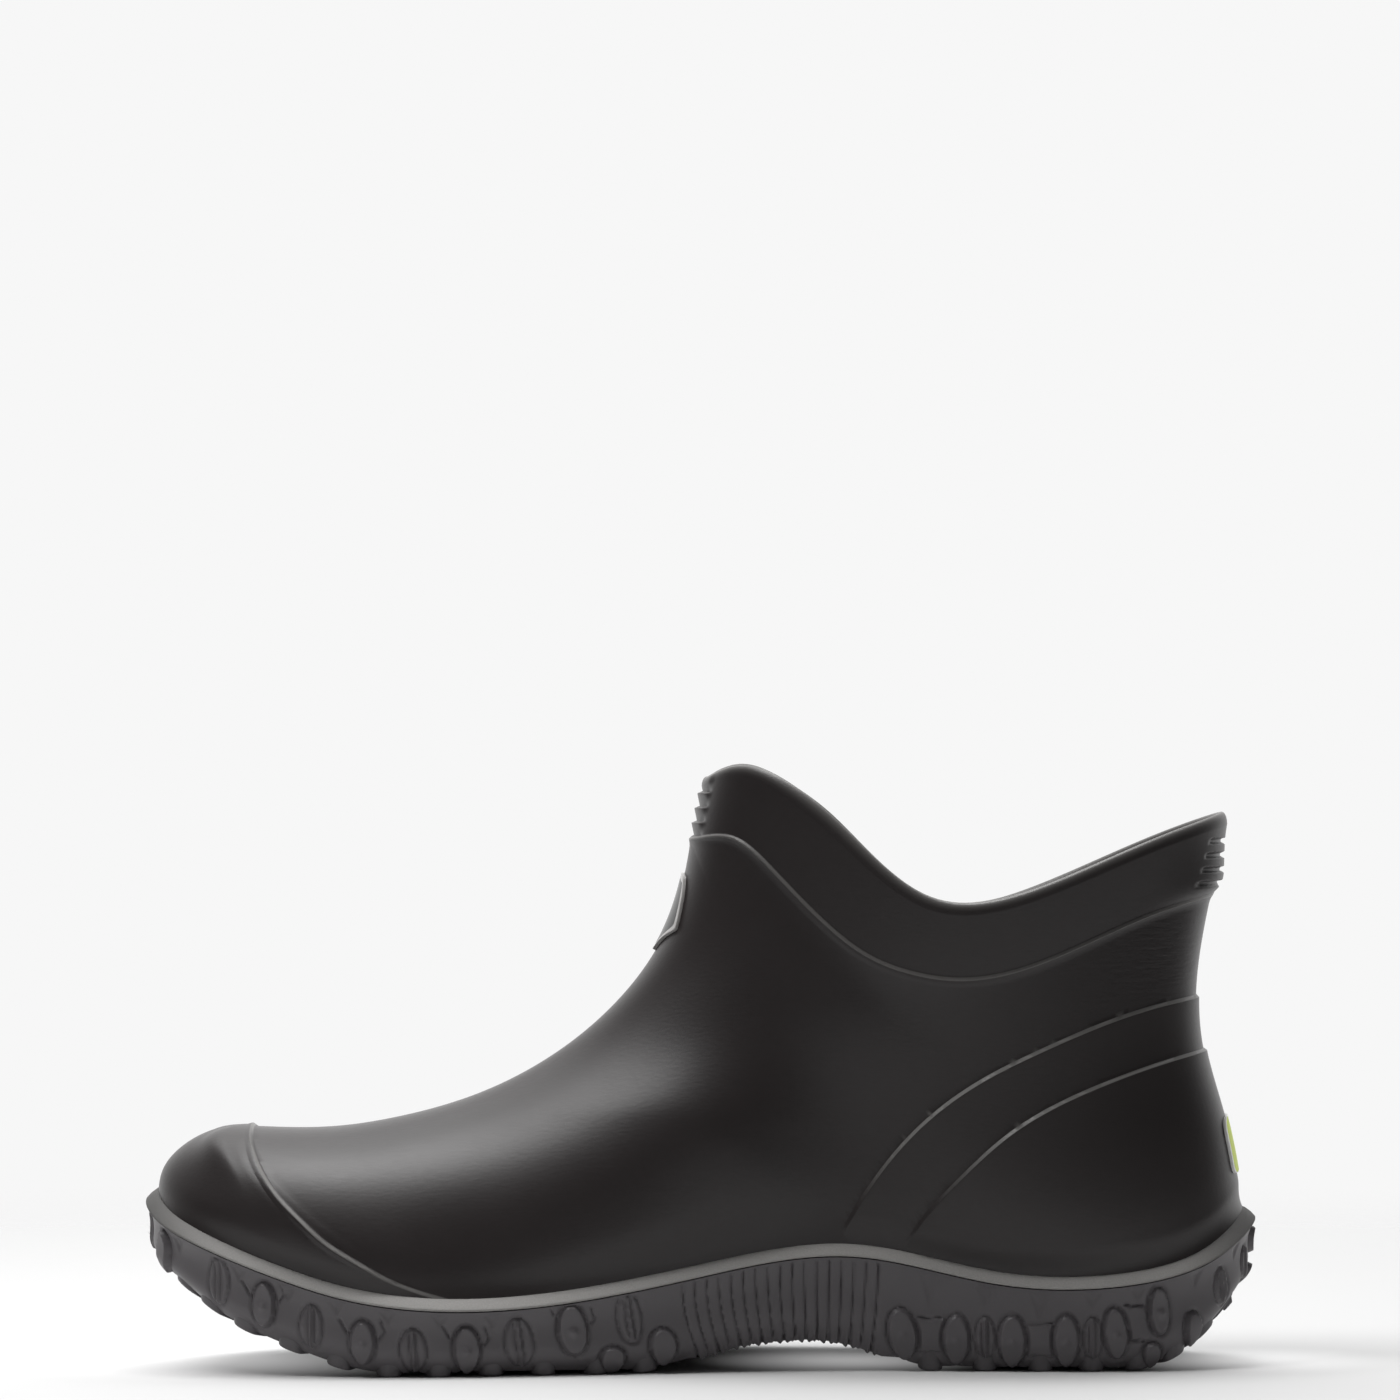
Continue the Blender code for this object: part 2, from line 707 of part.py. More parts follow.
def add_pod(bm, side, share):
    """Oval pod that stands out of the sole's side wall."""
    rim = welt_point(side, share, SIDE_WALL[0].inset, WELT_HEIGHT)[0]
    foot = welt_point(side, share, SIDE_WALL[-1].inset)[0]
    under = between_lugs(foot[:1], foot[1:2])[0]
    middle = sole_under(foot[:1], foot[1:2])[0] + POD_RISE
    down = np.clip((rim[2] - middle) / (rim[2] - under), POD_HIGHEST, POD_LOWEST)
    centre = side_wall(side, share, down)[0]
    up = side_wall(side, share, down - POD_REACH)[0] - side_wall(side, share, down + POD_REACH)[0]
    up /= np.linalg.norm(up)
    along = np.append(outward(side, share)[0][::-1] * (-1, 1), 0.0)
    out = np.cross(along, up)
    turns = np.arange(POD_SIDES) * 2 * math.pi / POD_SIDES
    rings = []
    for lift, size in ((-POD_SINK, 1.0), (POD_PROUD, POD_TAPER)):
        across = np.cos(turns)[:, None] * along * POD_HALF_WIDTH
        tall = np.sin(turns)[:, None] * up * POD_HALF_HEIGHT
        rings.append(centre + out * lift + (across + tall) * size)
    add_prism(bm, rings)


def add_lug(bm, centre, along, half_length, half_width):
    """Lug under the sole, tapered, with its tip on the lowest line of the sole."""
    across = np.array((-along[1], along[0]))
    turns = (np.arange(LUG_SIDES) + 0.5) * 2 * math.pi / LUG_SIDES
    long_way = np.sign(np.cos(turns)) * np.abs(np.cos(turns)) ** LUG_SQUARE * half_length
    wide_way = np.sign(np.sin(turns)) * np.abs(np.sin(turns)) ** LUG_SQUARE * half_width
    rings = []
    for size, lugs, lift in ((1.0, False, LUG_SINK), (LUG_TAPER, True, 0.0)):
        plan = centre + (long_way[:, None] * along + wide_way[:, None] * across) * size
        level = sole_under(plan[:, 0], plan[:, 1], lugs) + lift
        rings.append(np.column_stack([plan, level]))
    add_prism(bm, rings)


def add_rib(bm, side, share):
    """Upright rib of the waist, its foot swept towards the heel."""
    rings = []
    for down in RIB_STOPS:
        place = share + RIB_SWEEP * down ** 2
        centre = side_wall(side, place, down)[0]
        out = np.append(outward(side, place)[0], 0.0)
        along = np.array((-out[1], out[0], 0.0)) * RIB_WIDTH / 2
        corners = ((-1, -POD_SINK), (1, -POD_SINK), (RIB_TAPER, RIB_PROUD), (-RIB_TAPER, RIB_PROUD))
        rings.append([centre + along * wide + out * lift for wide, lift in corners])
    add_prism(bm, rings)


def build_tread():
    """Pods, ribs and lugs that are moulded with the sole."""
    bm = bmesh.new()
    for side in SIDES:
        for run in (FORE_RUN, HEEL_RUN):
            for share in pod_shares(run):
                add_pod(bm, side, share)
                centre = welt_point(side, share, EDGE_LUG_IN)[0, :2]
                add_lug(bm, centre, outward(side, share)[0], EDGE_LUG_HALF_LENGTH, EDGE_LUG_HALF_WIDTH)
        for share in np.linspace(*RIB_RUN, RIB_COUNT):
            add_rib(bm, side, share)
    for rows in MIDDLE_LUGS:
        for share in np.linspace(rows.first, rows.last, rows.count):
            inner = welt_point(INNER, share, MIDDLE_LUG_IN)[0, :2]
            outer = welt_point(OUTER, share, MIDDLE_LUG_IN)[0, :2]
            width = np.linalg.norm(outer - inner)
            count = int(width // MIDDLE_LUG_PITCH)
            for k in range(count):
                centre = inner + (outer - inner) * (k + 0.5) / count
                add_lug(bm, centre, (outer - inner) / width, MIDDLE_LUG_HALF_LENGTH, MIDDLE_LUG_HALF_WIDTH)
    return bm


def build_outsole():
    """Cup of the sole: floor, rim and side wall, before its tread is joined."""
    share = column_shares()
    bm = bmesh.new()
    for side in SIDES:
        floor = welt_point(side, share, RIM_WIDTH + CUP_DRAFT)
        floor[:, 2] = cup_floor(floor[:, 0], floor[:, 1])
        rows = [floor, welt_point(side, share, RIM_WIDTH, WELT_HEIGHT)]
        rows += [side_wall(side, share, row.share) for row in SIDE_WALL]
        add_grid(bm, np.stack(rows, axis=1))
    add_grid(bm, strip_across(share, SIDE_WALL[-1].inset, between_lugs, UNDER_CELLS))
    add_grid(bm, strip_across(share, RIM_WIDTH + CUP_DRAFT, cup_floor, FLOOR_CELLS))
    return bm


def add_plaque(bm, grid, base, thick):
    """Plate that follows a grid of points on the upper's wall, a little off it."""
    skin = bmesh.new()
    verts = add_grid(skin, grid)
    skin.normal_update()
    middle = verts[len(verts) // 2][len(verts[0]) // 2]
    sign = 1 if middle.normal.x * (1 if middle.co.x > 0 else -1) > 0 else -1
    layers = []
    for lift in (base, base + thick):
        layers.append(np.array([[v.co + v.normal * sign * lift for v in line] for line in verts]))
        add_grid(bm, layers[-1])
    skin.free()
    for end in (0, -1):
        add_grid(bm, np.stack([layer[end] for layer in layers], axis=1))
        add_grid(bm, np.stack([layer[:, end] for layer in layers], axis=1))


def plaque_outline(count):
    """Places along a plaque from -1 to 1 and its share of full width there, with rounded corners."""
    place = np.sin(np.linspace(-1, 1, count) * math.pi / 2 * PLAQUE_CROWD)
    place /= place[-1]
    return place, (1 - np.abs(place * PLAQUE_REACH) ** PLAQUE_POWER) ** (1 / PLAQUE_POWER)


def spread_points(line, distances):
    """Points at given distances along a fine line of points."""
    steps = np.linalg.norm(np.diff(line, axis=0), axis=1)
    along = np.concatenate([[0.0], np.cumsum(steps)])
    return np.stack([np.interp(distances, along, line[:, k]) for k in range(3)], axis=1)


def build_front_badge():
    """Plain plaque over the ridge at the front of the shaft."""
    up = np.linspace(0, 1, FINE_STEPS)
    ridge_z = RIDGE_LINE.at(up * RIDGE_LINE.knots[-1])[:, 2]
    place, width = plaque_outline(PLAQUE_ROWS)
    levels = BADGE_LOW + (BADGE_HIGH - BADGE_LOW) * (place + 1) / 2
    shares = CAP_SHARE + (CUFF_SHARE - CAP_SHARE) * np.interp(levels, ridge_z, up)
    grid = []
    for share, wide in zip(shares, width):
        reach = np.linspace(0, wide * BADGE_HALF_WIDTH, PLAQUE_HALF_CELLS + 1)
        halves = []
        for side in SIDES:
            arc = upper_wall(side, np.array([share]), np.linspace(1.0, 0.4, FINE_STEPS))[0]
            halves.append(spread_points(arc, reach))
        grid.append(np.concatenate([halves[0][::-1], halves[1][1:]]))
    bm = bmesh.new()
    add_plaque(bm, np.array(grid), BADGE_SEAT, BADGE_THICK)
    return bm


def build_heel_patch():
    """Plain patch round the back of the heel, over the counter."""
    place, width = plaque_outline(PLAQUE_ROWS)
    levels = PATCH_LOW + (PATCH_HIGH - PATCH_LOW) * (place + 1) / 2
    shares = np.linspace(1.0, 0.8, FINE_STEPS)
    walls = {side: upper_wall(side, shares, levels) for side in SIDES}
    grid = []
    for row, wide in enumerate(width):
        reach = np.linspace(0, wide * PATCH_HALF_WIDTH, PLAQUE_HALF_CELLS + 1)
        halves = [spread_points(walls[side][:, row], reach) for side in SIDES]
        grid.append(np.concatenate([halves[0][::-1], halves[1][1:]]))
    bm = bmesh.new()
    add_plaque(bm, np.array(grid), 2 * COUNTER_STEP + SEAT_GAP, PATCH_THICK)
    return bm


def main():
    for old in list(bpy.data.objects):
        bpy.data.objects.remove(old)
    pieces = {
        "upper": build_upper,
        "welt": build_welt,
        "insole": build_insole,
        "front_badge": build_front_badge,
        "heel_patch": build_heel_patch,
        "outsole": build_outsole,
    }
    objects = {name: finish(name, to_mesh(name, build())) for name, build in pieces.items()}

    tread = bpy.data.objects.new("tread_guide", to_mesh("tread_guide", build_tread()))
    bpy.context.collection.objects.link(tread)
    tread.hide_render = True
    tread.display_type = "WIRE"
    join = objects["outsole"].modifiers.new("tread", "BOOLEAN")
    join.operation = "UNION"
    join.solver = "EXACT"
    join.use_self = True
    join.object = tread


main()
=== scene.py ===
"""Rubber ankle boot for the right foot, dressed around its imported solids.

Sizes are millimetres and meshes are metres.  The toe points to -X and the heel to +X, the inner side
of the foot faces -Y, and the boot stands on z = 0.
"""
import math
from collections import namedtuple

import bmesh
import bpy
import numpy as np
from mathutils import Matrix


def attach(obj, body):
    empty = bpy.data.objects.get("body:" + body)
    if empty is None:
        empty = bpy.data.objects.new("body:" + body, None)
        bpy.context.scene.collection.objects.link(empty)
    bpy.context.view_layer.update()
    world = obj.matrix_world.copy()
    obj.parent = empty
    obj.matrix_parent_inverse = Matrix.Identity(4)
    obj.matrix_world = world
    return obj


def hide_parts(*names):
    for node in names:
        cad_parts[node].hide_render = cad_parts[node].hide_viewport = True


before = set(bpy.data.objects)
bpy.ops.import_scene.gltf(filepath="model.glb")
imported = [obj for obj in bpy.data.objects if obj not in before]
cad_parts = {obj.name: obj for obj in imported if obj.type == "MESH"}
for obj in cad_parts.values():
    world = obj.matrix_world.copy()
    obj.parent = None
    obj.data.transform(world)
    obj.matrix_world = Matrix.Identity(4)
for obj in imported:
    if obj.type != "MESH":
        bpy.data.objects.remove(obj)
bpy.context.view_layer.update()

# Outsole
# A cup of matte charcoal rubber, moulded in one shot.  Its side carries raised pods, panels and upright
# ribs, its underside carries lugs, and the upper is bonded into its rim.
MM = 0.001
INNER = -1
OUTER = 1
SIDES = (INNER, OUTER)
WELT_HEIGHT = 3.4
RIM_WIDTH = 6.4
CUP_DRAFT = 1.0
LUG_DEPTH = 3.2
LUG_FADE = 4.0
WALL_FOOT = 1.1
ARCH_HALF_WIDTH = 40.0


def table(names, *rows):
    """Rows of a table with named columns."""
    row_of = namedtuple("Row", names)
    return [row_of(*row) for row in rows]


# Outer top line of the welt, from the toe tip along the inner side to the heel and back
WELT_EDGE = table(
    "place x y z",
    ("toe tip", -150, -14, 47.4),
    ("inner tip turn", -146.5, -28.4, 43.2),
    ("inner toe corner", -138, -40, 38.8),
    ("inner toe turn", -126, -47.2, 34),
    ("inner toe side", -112, -51, 28.9),
    ("inner ball front", -95, -53.9, 23.9),
    ("inner ball", -78, -54.9, 21.3),
    ("behind inner ball", -40, -49, 21.9),
    ("inner waist front", 0, -40.5, 28.9),
    ("inner waist", 40, -36, 33.9),
    ("inner heel front", 78, -37, 26.7),
    ("inner heel", 108, -37.5, 25.7),
    ("inner heel corner", 136, -28, 31.8),
    ("heel back", 150, 0, 41.8),
    ("outer heel corner", 136, 28.5, 32.5),
    ("outer heel", 108, 40, 25.8),
    ("outer heel front", 75, 42, 27),
    ("outer waist", 30, 46.5, 30.5),
    ("outer midfoot", -15, 53, 25.5),
    ("outer ball", -50, 54.5, 21.5),
    ("outer toe side", -90, 46, 24),
    ("outer toe corner", -126, 27, 36.5),
    ("outer tip", -144, 6, 46),
)

# Lowest line of the sole at the tips of its lugs, and the floor inside its cup
SOLE = table(
    "x tip floor",
    (-150, 33, 38),
    (-146, 29.5, 34.5),
    (-140, 24, 29.8),
    (-133, 18.8, 25.6),
    (-128, 15.4, 22.9),
    (-116, 9.4, 18.6),
    (-104, 4.8, 15.3),
    (-92, 1.2, 13),
    (-84, 0, 12.2),
    (-68, 0, 11.5),
    (-30, 0, 13.5),
    (10, 0, 19),
    (40, 0, 21.5),
    (80, 0, 19.5),
    (112, 0, 18.5),
    (118, 0.6, 18.5),
    (124, 2.2, 18.8),
    (132, 7, 19.8),
    (138, 12.6, 21.8),
    (144, 20.5, 26.6),
    (150, 29.5, 35.5),
)

# Rise of the arch under the waist, on each side
ARCH = table(
    "x inner outer",
    (-18, 0, 0),
    (-8, 1.6, 0.8),
    (8, 6.4, 3.8),
    (20, 8.2, 5.2),
    (31, 8.4, 5.4),
    (42, 6.2, 4),
    (52, 2.4, 1.4),
    (60, 0, 0),
)

# Side wall from the rim down to the underside, and a little way in under it
SIDE_WALL = table(
    "share inset",
    (0, 0.6),
    (0.20, 1.7),
    (0.55, 2),
    (0.84, 3),
    (1, 5.6),
)
WALL_COLUMNS = 770
WALL_ROWS = 40
UNDER_ROWS = 6
UNDER_FIRST = 0.05
FOOT_LEAN = 65.0
FOOT_FROM = 0.75
WELD_REACH = 0.003

# Raised pods and leaves of the side, by their way along the welt and their height above the floor
PODS = table(
    "along up half_width half_height tilt kind",
    (0, 36.4, 3.4, 5.4, 0, "leaf"),
    (17.4, 32, 3.4, 5.6, 0, "plain"),
    (41.3, 25, 3.2, 6.2, 0, "leaf"),
    (55.4, 19, 3.3, 6, 0, "dot"),
    (69.1, 13.3, 3.1, 5.8, 0, "leaf"),
    (83.5, 9.3, 3.4, 5.8, 0, "dot"),
    (97.4, 7.1, 3.5, 5.8, 4, "leaf"),
    (111.8, 7.4, 3.6, 6.1, 4, "dot"),
    (126, 9, 3.7, 6.6, 8, "leaf"),
    (140.4, 12.1, 4, 6.9, 10, "dot"),
    (156.1, 15.1, 3.2, 6.6, 10, "leaf"),
    (151.6, 4.2, 3.5, 3.3, 0, "plain"),
    (165.5, 7.4, 3.7, 4.8, 8, "plain"),
    (229.9, 10.1, 3.9, 6.8, 10, "dot"),
    (244.5, 8.6, 3.6, 6.6, 0, "dot"),
    (252.3, 8.8, 2.7, 5.6, 0, "leaf"),
    (259.5, 8.3, 3.7, 6.8, 0, "dot"),
    (274.1, 8.4, 3.5, 6.8, 0, "dot"),
    (281.3, 8.8, 2.6, 5.6, 0, "leaf"),
    (287.5, 10.3, 3.2, 6.9, 5, "dot"),
    (299.7, 16.1, 3, 6.4, 5, "dot"),
    (298, 4.6, 2.8, 3.2, 0, "plain"),
    (310.9, 11.2, 3, 4.6, 8, "plain"),
    (322.1, 22, 2.8, 5, 6, "leaf"),
    (331, 14.6, 3, 4.4, 6, "plain"),
    (337, 27.5, 3, 4.6, 0, "leaf"),
    (348, 22.5, 3.2, 4.4, 0, "plain"),
    (348, 33, 3.2, 3.8, 0, "plain"),
)
POD_PROUD = {"dot": 1.35, "plain": 1.6, "leaf": 0.45}
POD_EDGE = 0.75
POD_GROOVE = 0.5
POD_GROOVE_AT = -0.35
POD_NEAR = 9.0
POD_LEAST = 0.02
NUB_HIGH = 0.7
NUB_RADIUS = 1.0
NUB_DROP = 0.6
LEAF_RIDGE = 0.55
LEAF_LINE = 0.4
LEAF_LINES_APART = 0.95

# Flat panels between the pods of the heel
PANELS = table(
    "along up half_width half_height",
    (237.2, 9.6, 4.6, 4.9),
    (266.8, 8.4, 4.6, 4.6),
    (293.4, 13, 4, 4.9),
)
PANEL_PROUD = 0.3

# Shallow notches that hang from the rim, by their way along, half width and depth
NOTCHES = table(
    "along half_width depth",
    (26, 3.2, 5),
    (48, 3.2, 4.8),
    (62.4, 3.2, 4.8),
    (76.3, 3.2, 4.6),
    (90.4, 3.2, 4.4),
    (104.4, 3.2, 4.2),
    (118.6, 3.2, 4.4),
    (237.2, 3.6, 9.6),
    (252.3, 3.6, 6.2),
    (266.8, 3.6, 8),
    (281, 3.4, 5.2),
    (293.4, 3.2, 4.4),
    (311, 2.6, 5),
    (328, 2.6, 5),
)
NOTCH_DEEP = 0.45

# Fine lines that are cut beside the shoulders of the forefoot's dotted pods, from the pod's middle
CUTS = table(
    "along_high up_high along_low up_low",
    (-6.4, 6.2, -3.9, 2.2),
    (4.9, 6, 6, 3.1),
    (6, 3.1, 4.2, 0.4),
)
CUT_LAST = 150.0
CUT_DEEP = 0.6
CUT_LEAST = 0.05
CUT_HALF_WIDTH = 0.3

# Upright ribs of the waist, whose feet sweep towards the heel
RIB_FIRST = 170.5
RIB_LAST = 224.5
RIB_PITCH = 3.3
RIB_DEEP = 0.6
RIB_GROOVE = 0.36
RIB_SLOPE = 0.45
RIB_TOOTH = 0.7
RIB_TOOTH_PITCH = 2.2
RIB_SWEEP_FRONT = 5.6
RIB_SWEEP_BACK = -2.4

# Lugs: rounded blocks round the edge, in the gaps between the pods, and in rows across the middle
LUG_LENGTH = 12.5
LUG_WIDTH = 6.6
LUG_TALL = 5.6
LUG_CORNER = 2.9
LUG_SOFTEN = 0.7
EDGE_LUG_IN = 9.6
EDGE_LUGS = (10.0, 24.0, 36.0, 48.4, 62.3, 76.3, 90.4, 104.6, 118.9, 133.2, 147.6, 161.0,
             237.3, 252.0, 267.0, 281.3, 294.5, 306.0, 318.0, 330.0, 342.0)
MIDDLE_LUG_IN = 24.0
MIDDLE_LUG_PITCH = 21.0
MIDDLE_LUGS = table(
    "first last count",
    (0.13, 0.44, 8),
    (0.72, 0.88, 4),
)


def columns(rows, *names):
    """The named columns of a table, as an array with a line for each row."""
    return np.array([[getattr(row, name) for name in names] for row in rows])


class Curve:
    """A smooth curve through points, open or closed, read at a distance along its knots."""

    def __init__(self, points, knots=None, closed=False):
        points = np.asarray(points, float)
        if closed:
            points = np.vstack([points, points[:1]])
        if knots is None:
            steps = np.linalg.norm(np.diff(points, axis=0), axis=1)
            knots = np.concatenate([[0.0], np.cumsum(steps)])
        self.points = points
        self.knots = np.asarray(knots, float)
        self.closed = closed
        self.slopes = self.find_slopes()

    def find_slopes(self):
        """Slopes at the knots that keep the bend of the curve unbroken."""
        gaps = np.diff(self.knots)
        rates = np.diff(self.points, axis=0) / gaps[:, None]
        count = len(self.knots)
        matrix = np.zeros((count, count))
        wanted = np.zeros_like(self.points)
        for i in range(1, count - 1):
            matrix[i, i - 1:i + 2] = gaps[i], 2 * (gaps[i - 1] + gaps[i]), gaps[i - 1]
            wanted[i] = 3 * (gaps[i] * rates[i - 1] + gaps[i - 1] * rates[i])
        if self.closed:
            matrix[0, [-2, 0, 1]] = gaps[0], 2 * (gaps[-1] + gaps[0]), gaps[-1]
            wanted[0] = 3 * (gaps[0] * rates[-1] + gaps[-1] * rates[0])
            matrix[-1, [0, -1]] = 1, -1
        else:
            matrix[0, :2] = 2, 1
            wanted[0] = 3 * rates[0]
            matrix[-1, -2:] = 1, 2
            wanted[-1] = 3 * rates[-1]
        return np.linalg.solve(matrix, wanted)

    def at(self, where):
        where = np.asarray(where, float)
        flat = where.ravel()
        if self.closed:
            flat = np.mod(flat, self.knots[-1])
        else:
            flat = np.clip(flat, self.knots[0], self.knots[-1])
        i = np.clip(np.searchsorted(self.knots, flat, side="right") - 1, 0, len(self.knots) - 2)
        gap = (self.knots[i + 1] - self.knots[i])[:, None]
        t = (flat - self.knots[i])[:, None] / gap
        start = (1 + 2 * t) * (1 - t) ** 2 * self.points[i] + t * (1 - t) ** 2 * gap * self.slopes[i]
        end = t * t * (3 - 2 * t) * self.points[i + 1] - t * t * (1 - t) * gap * self.slopes[i + 1]
        return (start + end).reshape(*where.shape, -1)


def lookup(rows, key, *names):
    """A smooth curve of some columns of a table over its key column."""
    return Curve(columns(rows, *names), knots=columns(rows, key)[:, 0])


WELT_LINE = Curve(columns(WELT_EDGE, "x", "y", "z"), closed=True)
HEEL_AT = WELT_LINE.knots[[row.place for row in WELT_EDGE].index("heel back")]
ROUND_AT = WELT_LINE.knots[-1]
SOLE_AT = lookup(SOLE, "x", "tip", "floor")
ARCH_AT = lookup(ARCH, "x", "inner", "outer")
INSET_AT = lookup(SIDE_WALL, "share", "inset")


def way_round(side, share):
    """Distance along the welt of a share of the way from toe tip to heel back on one side."""
    if side == INNER:
        return share * HEEL_AT
    return ROUND_AT - share * (ROUND_AT - HEEL_AT)


def outward(side, share):
    """Level direction out of the boot, square to the welt."""
    distance = way_round(side, share)
    along = WELT_LINE.at(distance + 0.5) - WELT_LINE.at(distance - 0.5)
    across = np.stack([along[..., 1], -along[..., 0]], axis=-1)
    return across / np.linalg.norm(across, axis=-1, keepdims=True)


def welt_point(side, share, inset=0.0, drop=0.0):
    """Points of the welt's outer top line, moved in towards the foot and down."""
    share = np.asarray(share, float)
    points = WELT_LINE.at(way_round(side, share))
    points[..., :2] -= outward(side, share) * np.asarray(inset)[..., None]
    points[..., 2] -= drop
    return points


def lug_tips(x, y):
    """Height of the tips of the lugs."""
    inner, outer = np.moveaxis(ARCH_AT.at(x), -1, 0)
    lean = np.clip((y + ARCH_HALF_WIDTH) / (2 * ARCH_HALF_WIDTH), 0, 1)
    return np.maximum(SOLE_AT.at(x)[..., 0], inner + (outer - inner) * lean)


def between_lugs(x, y):
    """Height of the sole's underside between its lugs."""
    fade = np.clip(1 - ARCH_AT.at(x).max(-1) / LUG_FADE, 0, 1)
    return lug_tips(x, y) + LUG_DEPTH * fade


def cup_floor(x):
    """Height of the floor inside the sole."""
    return SOLE_AT.at(x)[..., 1]


def ramp(value, start, end):
    """Smooth rise from 0 at start to 1 at end."""
    t = np.clip((value - start) / (end - start), 0, 1)
    return t * t * (3 - 2 * t)


def bell(value, width):
    """Smooth hump of height 1 about zero."""
    return np.exp(-(value / width) ** 2)


def pod_relief(pod, along, up):
    """Relief of one pod: a raised oval in a fine groove, with a nub, or a leaf with a ridge."""
    turn = math.radians(pod.tilt)
    across = (along - pod.along) * math.cos(turn) + (up - pod.up) * math.sin(turn)
    tall = (up - pod.up) * math.cos(turn) - (along - pod.along) * math.sin(turn)
    a = across / pod.half_width
    b = tall / pod.half_height
    r = np.hypot(a, b) + 1e-6
    inside = (1 - r) * r / np.hypot(a / pod.half_width, b / pod.half_height)
    body = ramp(inside, -0.15, POD_EDGE)
    relief = POD_PROUD[pod.kind] * body - POD_GROOVE * bell(inside - POD_GROOVE_AT, 0.4)
    if pod.kind == "dot":
        relief += NUB_HIGH * bell(np.hypot(across, tall + NUB_DROP), NUB_RADIUS)
    if pod.kind == "leaf":
        crease = bell(across, LEAF_LINE) - 0.8 * bell(np.abs(across) - LEAF_LINES_APART, LEAF_LINE)
        relief += LEAF_RIDGE * crease * ramp(inside, 0.0, 1.0)
    return relief


def panel_relief(panel, along, up):
    """Relief of a flat panel with a fine line along its top and its foot."""
    a = np.abs(along - panel.along) - panel.half_width
    bow = 0.5 * (1 - ((along - panel.along) / panel.half_width) ** 2)
    b = np.abs(up - panel.up) - panel.half_height + bow
    within = ramp(a, 0.3, -0.4)
    return within * (PANEL_PROUD * ramp(b, 0.2, -0.4) - CUT_DEEP * bell(b - 0.3, CUT_HALF_WIDTH))


def notch_relief(notch, along, below_rim):
    """Relief of a shallow notch that hangs from the rim."""
    r = np.abs(along - notch.along) / notch.half_width + below_rim / notch.depth
    return -NOTCH_DEEP * ramp(r, 1.15, 0.55)


def cut_relief(pod, cut, along, up):
    """Relief of a fine line beside a pod."""
    high = np.array((pod.along + cut.along_high, pod.up + cut.up_high))
    low = np.array((pod.along + cut.along_low, pod.up + cut.up_low))
    span = low - high
    t = ((along - high[0]) * span[0] + (up - high[1]) * span[1]) / (span @ span)
    t = np.clip(t, 0, 1)
    away = np.hypot(along - high[0] - t * span[0], up - high[1] - t * span[1])
    return -CUT_DEEP * bell(away, CUT_HALF_WIDTH)


def rib_relief(along, down):
    """Relief of the waist's ribs: narrow grooves, deeper at their feet."""
    place = np.clip((along - RIB_FIRST) / (RIB_LAST - RIB_FIRST), 0, 1)
    sweep = RIB_SWEEP_FRONT + (RIB_SWEEP_BACK - RIB_SWEEP_FRONT) * place
    foot = along - sweep * np.clip(down, 0, 1) ** 2
    turn = np.mod((foot - RIB_FIRST) / RIB_PITCH, 1)
    groove = bell(np.minimum(turn, 1 - turn) * RIB_PITCH, RIB_GROOVE)
    within = ramp(foot, RIB_FIRST - 0.5, RIB_FIRST) * ramp(foot, RIB_LAST + 0.5, RIB_LAST)
    rib = RIB_DEEP * (RIB_SLOPE * (turn - 0.5) - groove) * (1 + 0.5 * ramp(down, 0.7, 1.0))
    teeth = RIB_TOOTH * np.sin(math.pi * (foot - RIB_FIRST) / RIB_TOOTH_PITCH) ** 2 * ramp(down, 0.86, 1.0)
    return within * (rib + teeth)


def side_relief(along, up, below_rim, down):
    """How far the pods, panels, notches, cuts and ribs move the side wall outwards."""
    relief = rib_relief(along, down)
    for notch in NOTCHES:
        near = np.abs(along - notch.along) < 2 * notch.half_width
        relief[near] += notch_relief(notch, along[near], below_rim[near])
    for panel in PANELS:
        near = np.abs(along - panel.along) < 2 * panel.half_width
        relief[near] += panel_relief(panel, along[near], up[near])
    for pod in PODS:
        near = np.abs(along - pod.along) < POD_NEAR
        for cut in CUTS if pod.kind == "dot" and pod.along < CUT_LAST else ():
            cut_in = cut_relief(pod, cut, along[near], up[near])
            relief[near] = np.where(cut_in < -CUT_LEAST, np.minimum(relief[near], cut_in), relief[near])
    for pod in PODS:
        near = np.abs(along - pod.along) < POD_NEAR
        moved = pod_relief(pod, along[near], up[near])
        relief[near] = np.where(np.abs(moved) > POD_LEAST, moved, relief[near])
    return relief * ramp(below_rim, 0.2, 1.2)


def alone(*pieces):
    """Select only these pieces, the first one active."""
    bpy.ops.object.select_all(action="DESELECT")
    for piece in pieces:
        piece.select_set(True)
    bpy.context.view_layer.objects.active = pieces[0]


def add_sheet(name, points):
    """A grid whose vertices lie on lines of points."""
    lines, count = points.shape[:2]
    bpy.ops.object.select_all(action="DESELECT")
    bpy.ops.mesh.primitive_grid_add(x_subdivisions=count - 1, y_subdivisions=lines - 1)
    sheet = bpy.context.object
    sheet.name = name
    sheet.data.name = name
    sheet.data.vertices.foreach_set("co", (points * MM).ravel())
    return sheet


def weld(name, *pieces):
    """Pieces joined to one, with their common edges merged and their faces turned out."""
    alone(*pieces)
    if len(pieces) > 1:
        bpy.ops.object.join()
    piece = bpy.context.object
    piece.name = name
    piece.data.name = name
    bpy.ops.object.mode_set(mode="EDIT")
    bpy.ops.mesh.select_all(action="SELECT")
    bpy.ops.mesh.remove_doubles(threshold=WELD_REACH * MM)
    bpy.ops.mesh.normals_make_consistent(inside=False)
    bpy.ops.object.mode_set(mode="OBJECT")
    return piece


